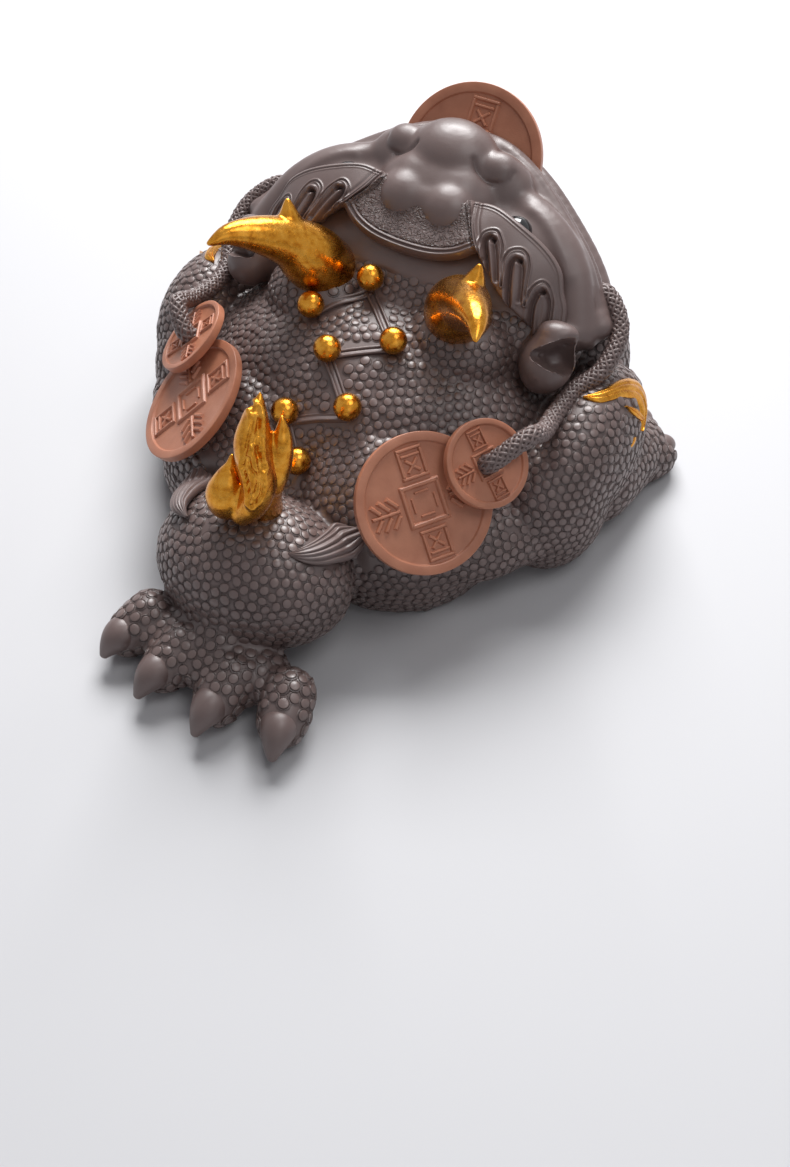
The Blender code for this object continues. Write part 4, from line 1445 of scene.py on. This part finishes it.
# Painted light and shade: the pebbles get a lighter copy of the clay, painted light on their tops, and
# the body skin between them a darker copy, painted shade.
smooth_tones = (0.13, 0.086, 0.079), (0.165, 0.113, 0.105)
painted_shade_skin_tones = (0.11, 0.073, 0.067), (0.145, 0.098, 0.09)
painted_light_pebble_tones = (0.136, 0.09, 0.081), (0.185, 0.126, 0.116)
smooth_clay = clay("burnished_clay", *smooth_tones, 0.42, stipple=True)
painted_shade_skin_clay = clay("painted_shade_skin_clay", *painted_shade_skin_tones, 0.42)
pebble_clay_painted_light_and_shade = clay("pebble_clay_painted_light_and_shade", *painted_light_pebble_tones, 0.35, ring=0.8)
print("clay materials: 3")

# %% [markdown]
# The gilding is leaf over clay: bright where the leaf is whole, orange-brown where it is thin,
# with small flakes that catch the light. The coins are brick-red clay with a matt grain.

# %% Gold, red clay and black glaze


def gilding(name, flaking):
    finish = Finish(name, (0.84, 0.45, 0.07), 0.24, 1.0)
    thin, usual, thick = (0.4, 0.135, 0.012), (0.62, 0.26, 0.027), (0.8, 0.4, 0.065)
    leaf = finish.ramp(finish.noise(0.55, 8, 0.3), (0.25, thin), (0.45, usual), (0.8, thick))
    finish.join(leaf, finish.shader.inputs["Base Color"])
    sheen = finish.ramp(finish.noise(2.4, 6), (0.3, grey(0.16)), (0.75, grey(0.36)))
    finish.join(sheen, finish.shader.inputs["Roughness"])
    flakes = finish.node("ShaderNodeTexVoronoi")
    flakes.inputs["Scale"].default_value = 1.6 / MM
    finish.join(finish.place, flakes.inputs["Vector"])
    normal = finish.bump(flakes.outputs["Distance"], flaking, 0.1)
    normal = finish.bump(finish.noise(1.1, 4), flaking, 0.14, normal)
    finish.join(normal, finish.shader.inputs["Normal"])
    return finish.material


def red_clay():
    finish = Finish("brick_clay", (0.5, 0.2, 0.12), 0.4)
    cloud = finish.ramp(finish.noise(0.2, 5), (0.3, (0.45, 0.172, 0.098)), (0.72, (0.56, 0.235, 0.14)))
    finish.join(cloud, finish.shader.inputs["Base Color"])
    finish.join(finish.bump(finish.noise(2.6, 6), 0.3, 0.14), finish.shader.inputs["Normal"])
    return finish.material


def black_glaze():
    finish = Finish("black_glass_glaze", (0.008, 0.008, 0.009), 0.1)
    finish.shader.inputs["Coat Weight"].default_value = 0.6
    finish.join(finish.bump(finish.noise(0.4, 2), 0.05, 0.1), finish.shader.inputs["Normal"])
    return finish.material


gold, flaky_gold = gilding("smooth_gold_leaf", 0.14), gilding("flaky_gold_leaf", 0.35)
brick, glaze = red_clay(), black_glaze()
print("other materials: 4")

# %% [markdown]
# ## Hand the pieces to the frame
# Every piece rides on the one body and hides the imported node that it stands for.

# %% Finish every piece
finish_piece(body, "purple_clay", painted_shade_skin_clay, "toad_body")
for piece in (skull, crest, claws, bars, tufts, *brows):
    finish_piece(piece, "purple_clay", smooth_clay, "toad_body")
for piece in pebble_pieces:
    finish_piece(piece, "purple_clay", pebble_clay_painted_light_and_shade, "toad_body")
finish_piece(knee_flames, "gilding", gold, "toad_body")
for (name, _), horn, rope in zip(SIDES, horns, ropes):
    finish_piece(horn, "gilding", gold, name + "_horn")
    finish_piece(rope, "purple_clay", smooth_clay, name + "_rope")
finish_piece(flame, "gilding", gold, "tail_flame")
for number, bead in enumerate(beads, start=1):
    finish_piece(bead, "gilding", flaky_gold, f"star_bead_{number}")
for coin, node in coins:
    finish_piece(coin, "red_clay", brick, node)
for eye, name in eyes:
    finish_piece(eye, "black_glaze", glaze, name + "_eye")

# %% [markdown]
# ## Studio
# A plain pale floor, one large soft light high in front of the head, a small one above and a weak
# fill behind. Camera, glossy and transmission rays see a pale grey sky; the rest see a dimmer one,
# so the sky shows pale but lights little.

# %% Floor, lights and sky
bpy.ops.mesh.primitive_plane_add(size=30)
floor = bpy.context.object
floor.name = "floor"
floor_finish = Finish("floor_paper", (0.62, 0.62, 0.64), 0.6)
floor.data.materials.append(floor_finish.material)
floor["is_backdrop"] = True


def softbox(name, place, target, size_m, watts):
    data = bpy.data.lights.new(name, "AREA")
    data.shape = "RECTANGLE"
    data.size, data.size_y = size_m
    data.energy = watts
    lamp = bpy.data.objects.new(name, data)
    bpy.context.scene.collection.objects.link(lamp)
    lamp.location = place
    lamp.rotation_euler = (Vector(target) - Vector(place)).to_track_quat("-Z", "Y").to_euler()


softbox("key", (0.35, -0.86, 0.98), (0, -0.02, 0.02), (0.9, 0.68), 28.5)
softbox("top", (-0.25, -0.05, 0.6), (0, -0.02, 0.03), (0.3, 0.3), 0.7)
softbox("fill", (-0.5, 0.4, 0.4), (0, 0, 0.02), (0.4, 0.4), 0.2)

world = bpy.data.worlds.new("studio")
bpy.context.scene.world = world
world.use_nodes = True
nodes, links = world.node_tree.nodes, world.node_tree.links
nodes.clear()
output = nodes.new("ShaderNodeOutputWorld")
mix = nodes.new("ShaderNodeMixShader")
seen = nodes.new("ShaderNodeBackground")
seen.inputs["Color"].default_value = (0.6, 0.6, 0.62, 1)
light = nodes.new("ShaderNodeBackground")
light.inputs["Color"].default_value = (0.14, 0.14, 0.148, 1)
path_node = nodes.new("ShaderNodeLightPath")
total = path_node.outputs["Is Camera Ray"]
for kind in ("Is Glossy Ray", "Is Transmission Ray"):
    adder = nodes.new("ShaderNodeMath")
    adder.use_clamp = True
    links.new(total, adder.inputs[0])
    links.new(path_node.outputs[kind], adder.inputs[1])
    total = adder.outputs[0]
links.new(total, mix.inputs["Fac"])
links.new(light.outputs["Background"], mix.inputs[1])
links.new(seen.outputs["Background"], mix.inputs[2])
links.new(mix.outputs["Shader"], output.inputs["Surface"])
print("lights: 3")

# %% [markdown]
# ## Camera
# The view is from behind and above, over the toad's right hip, with a lens of 43 mm.

# %% Camera
camera_data = bpy.data.cameras.new("camera")
camera_data.lens = 42.97
camera_data.sensor_width = 36
camera_data.shift_y = -0.1487
camera = bpy.data.objects.new("camera", camera_data)
bpy.context.scene.collection.objects.link(camera)
AZIMUTH, ELEVATION, DISTANCE = math.radians(208.7), math.radians(45.4), 388.45
AIM = Vector((0, -36.04, 7.65))
level = math.cos(ELEVATION)
back = Vector((math.sin(AZIMUTH) * level, -math.cos(AZIMUTH) * level, math.sin(ELEVATION)))
camera.location = (AIM + back * DISTANCE) * MM
camera.rotation_euler = back.to_track_quat("Z", "Y").to_euler()
camera_data.clip_start, camera_data.clip_end = 0.01, 20
bpy.context.scene.camera = camera
bpy.context.scene.view_settings.view_transform = "Standard"
print("camera at", [round(value, 4) for value in camera.location])

# %% [markdown]
# ## The size of the scene
# The visual model is kept inside the imported model's box; here its own box is measured.

# %% Measure the scene's size
size["scene"] = [list(corner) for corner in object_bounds()]
print("size:", size)
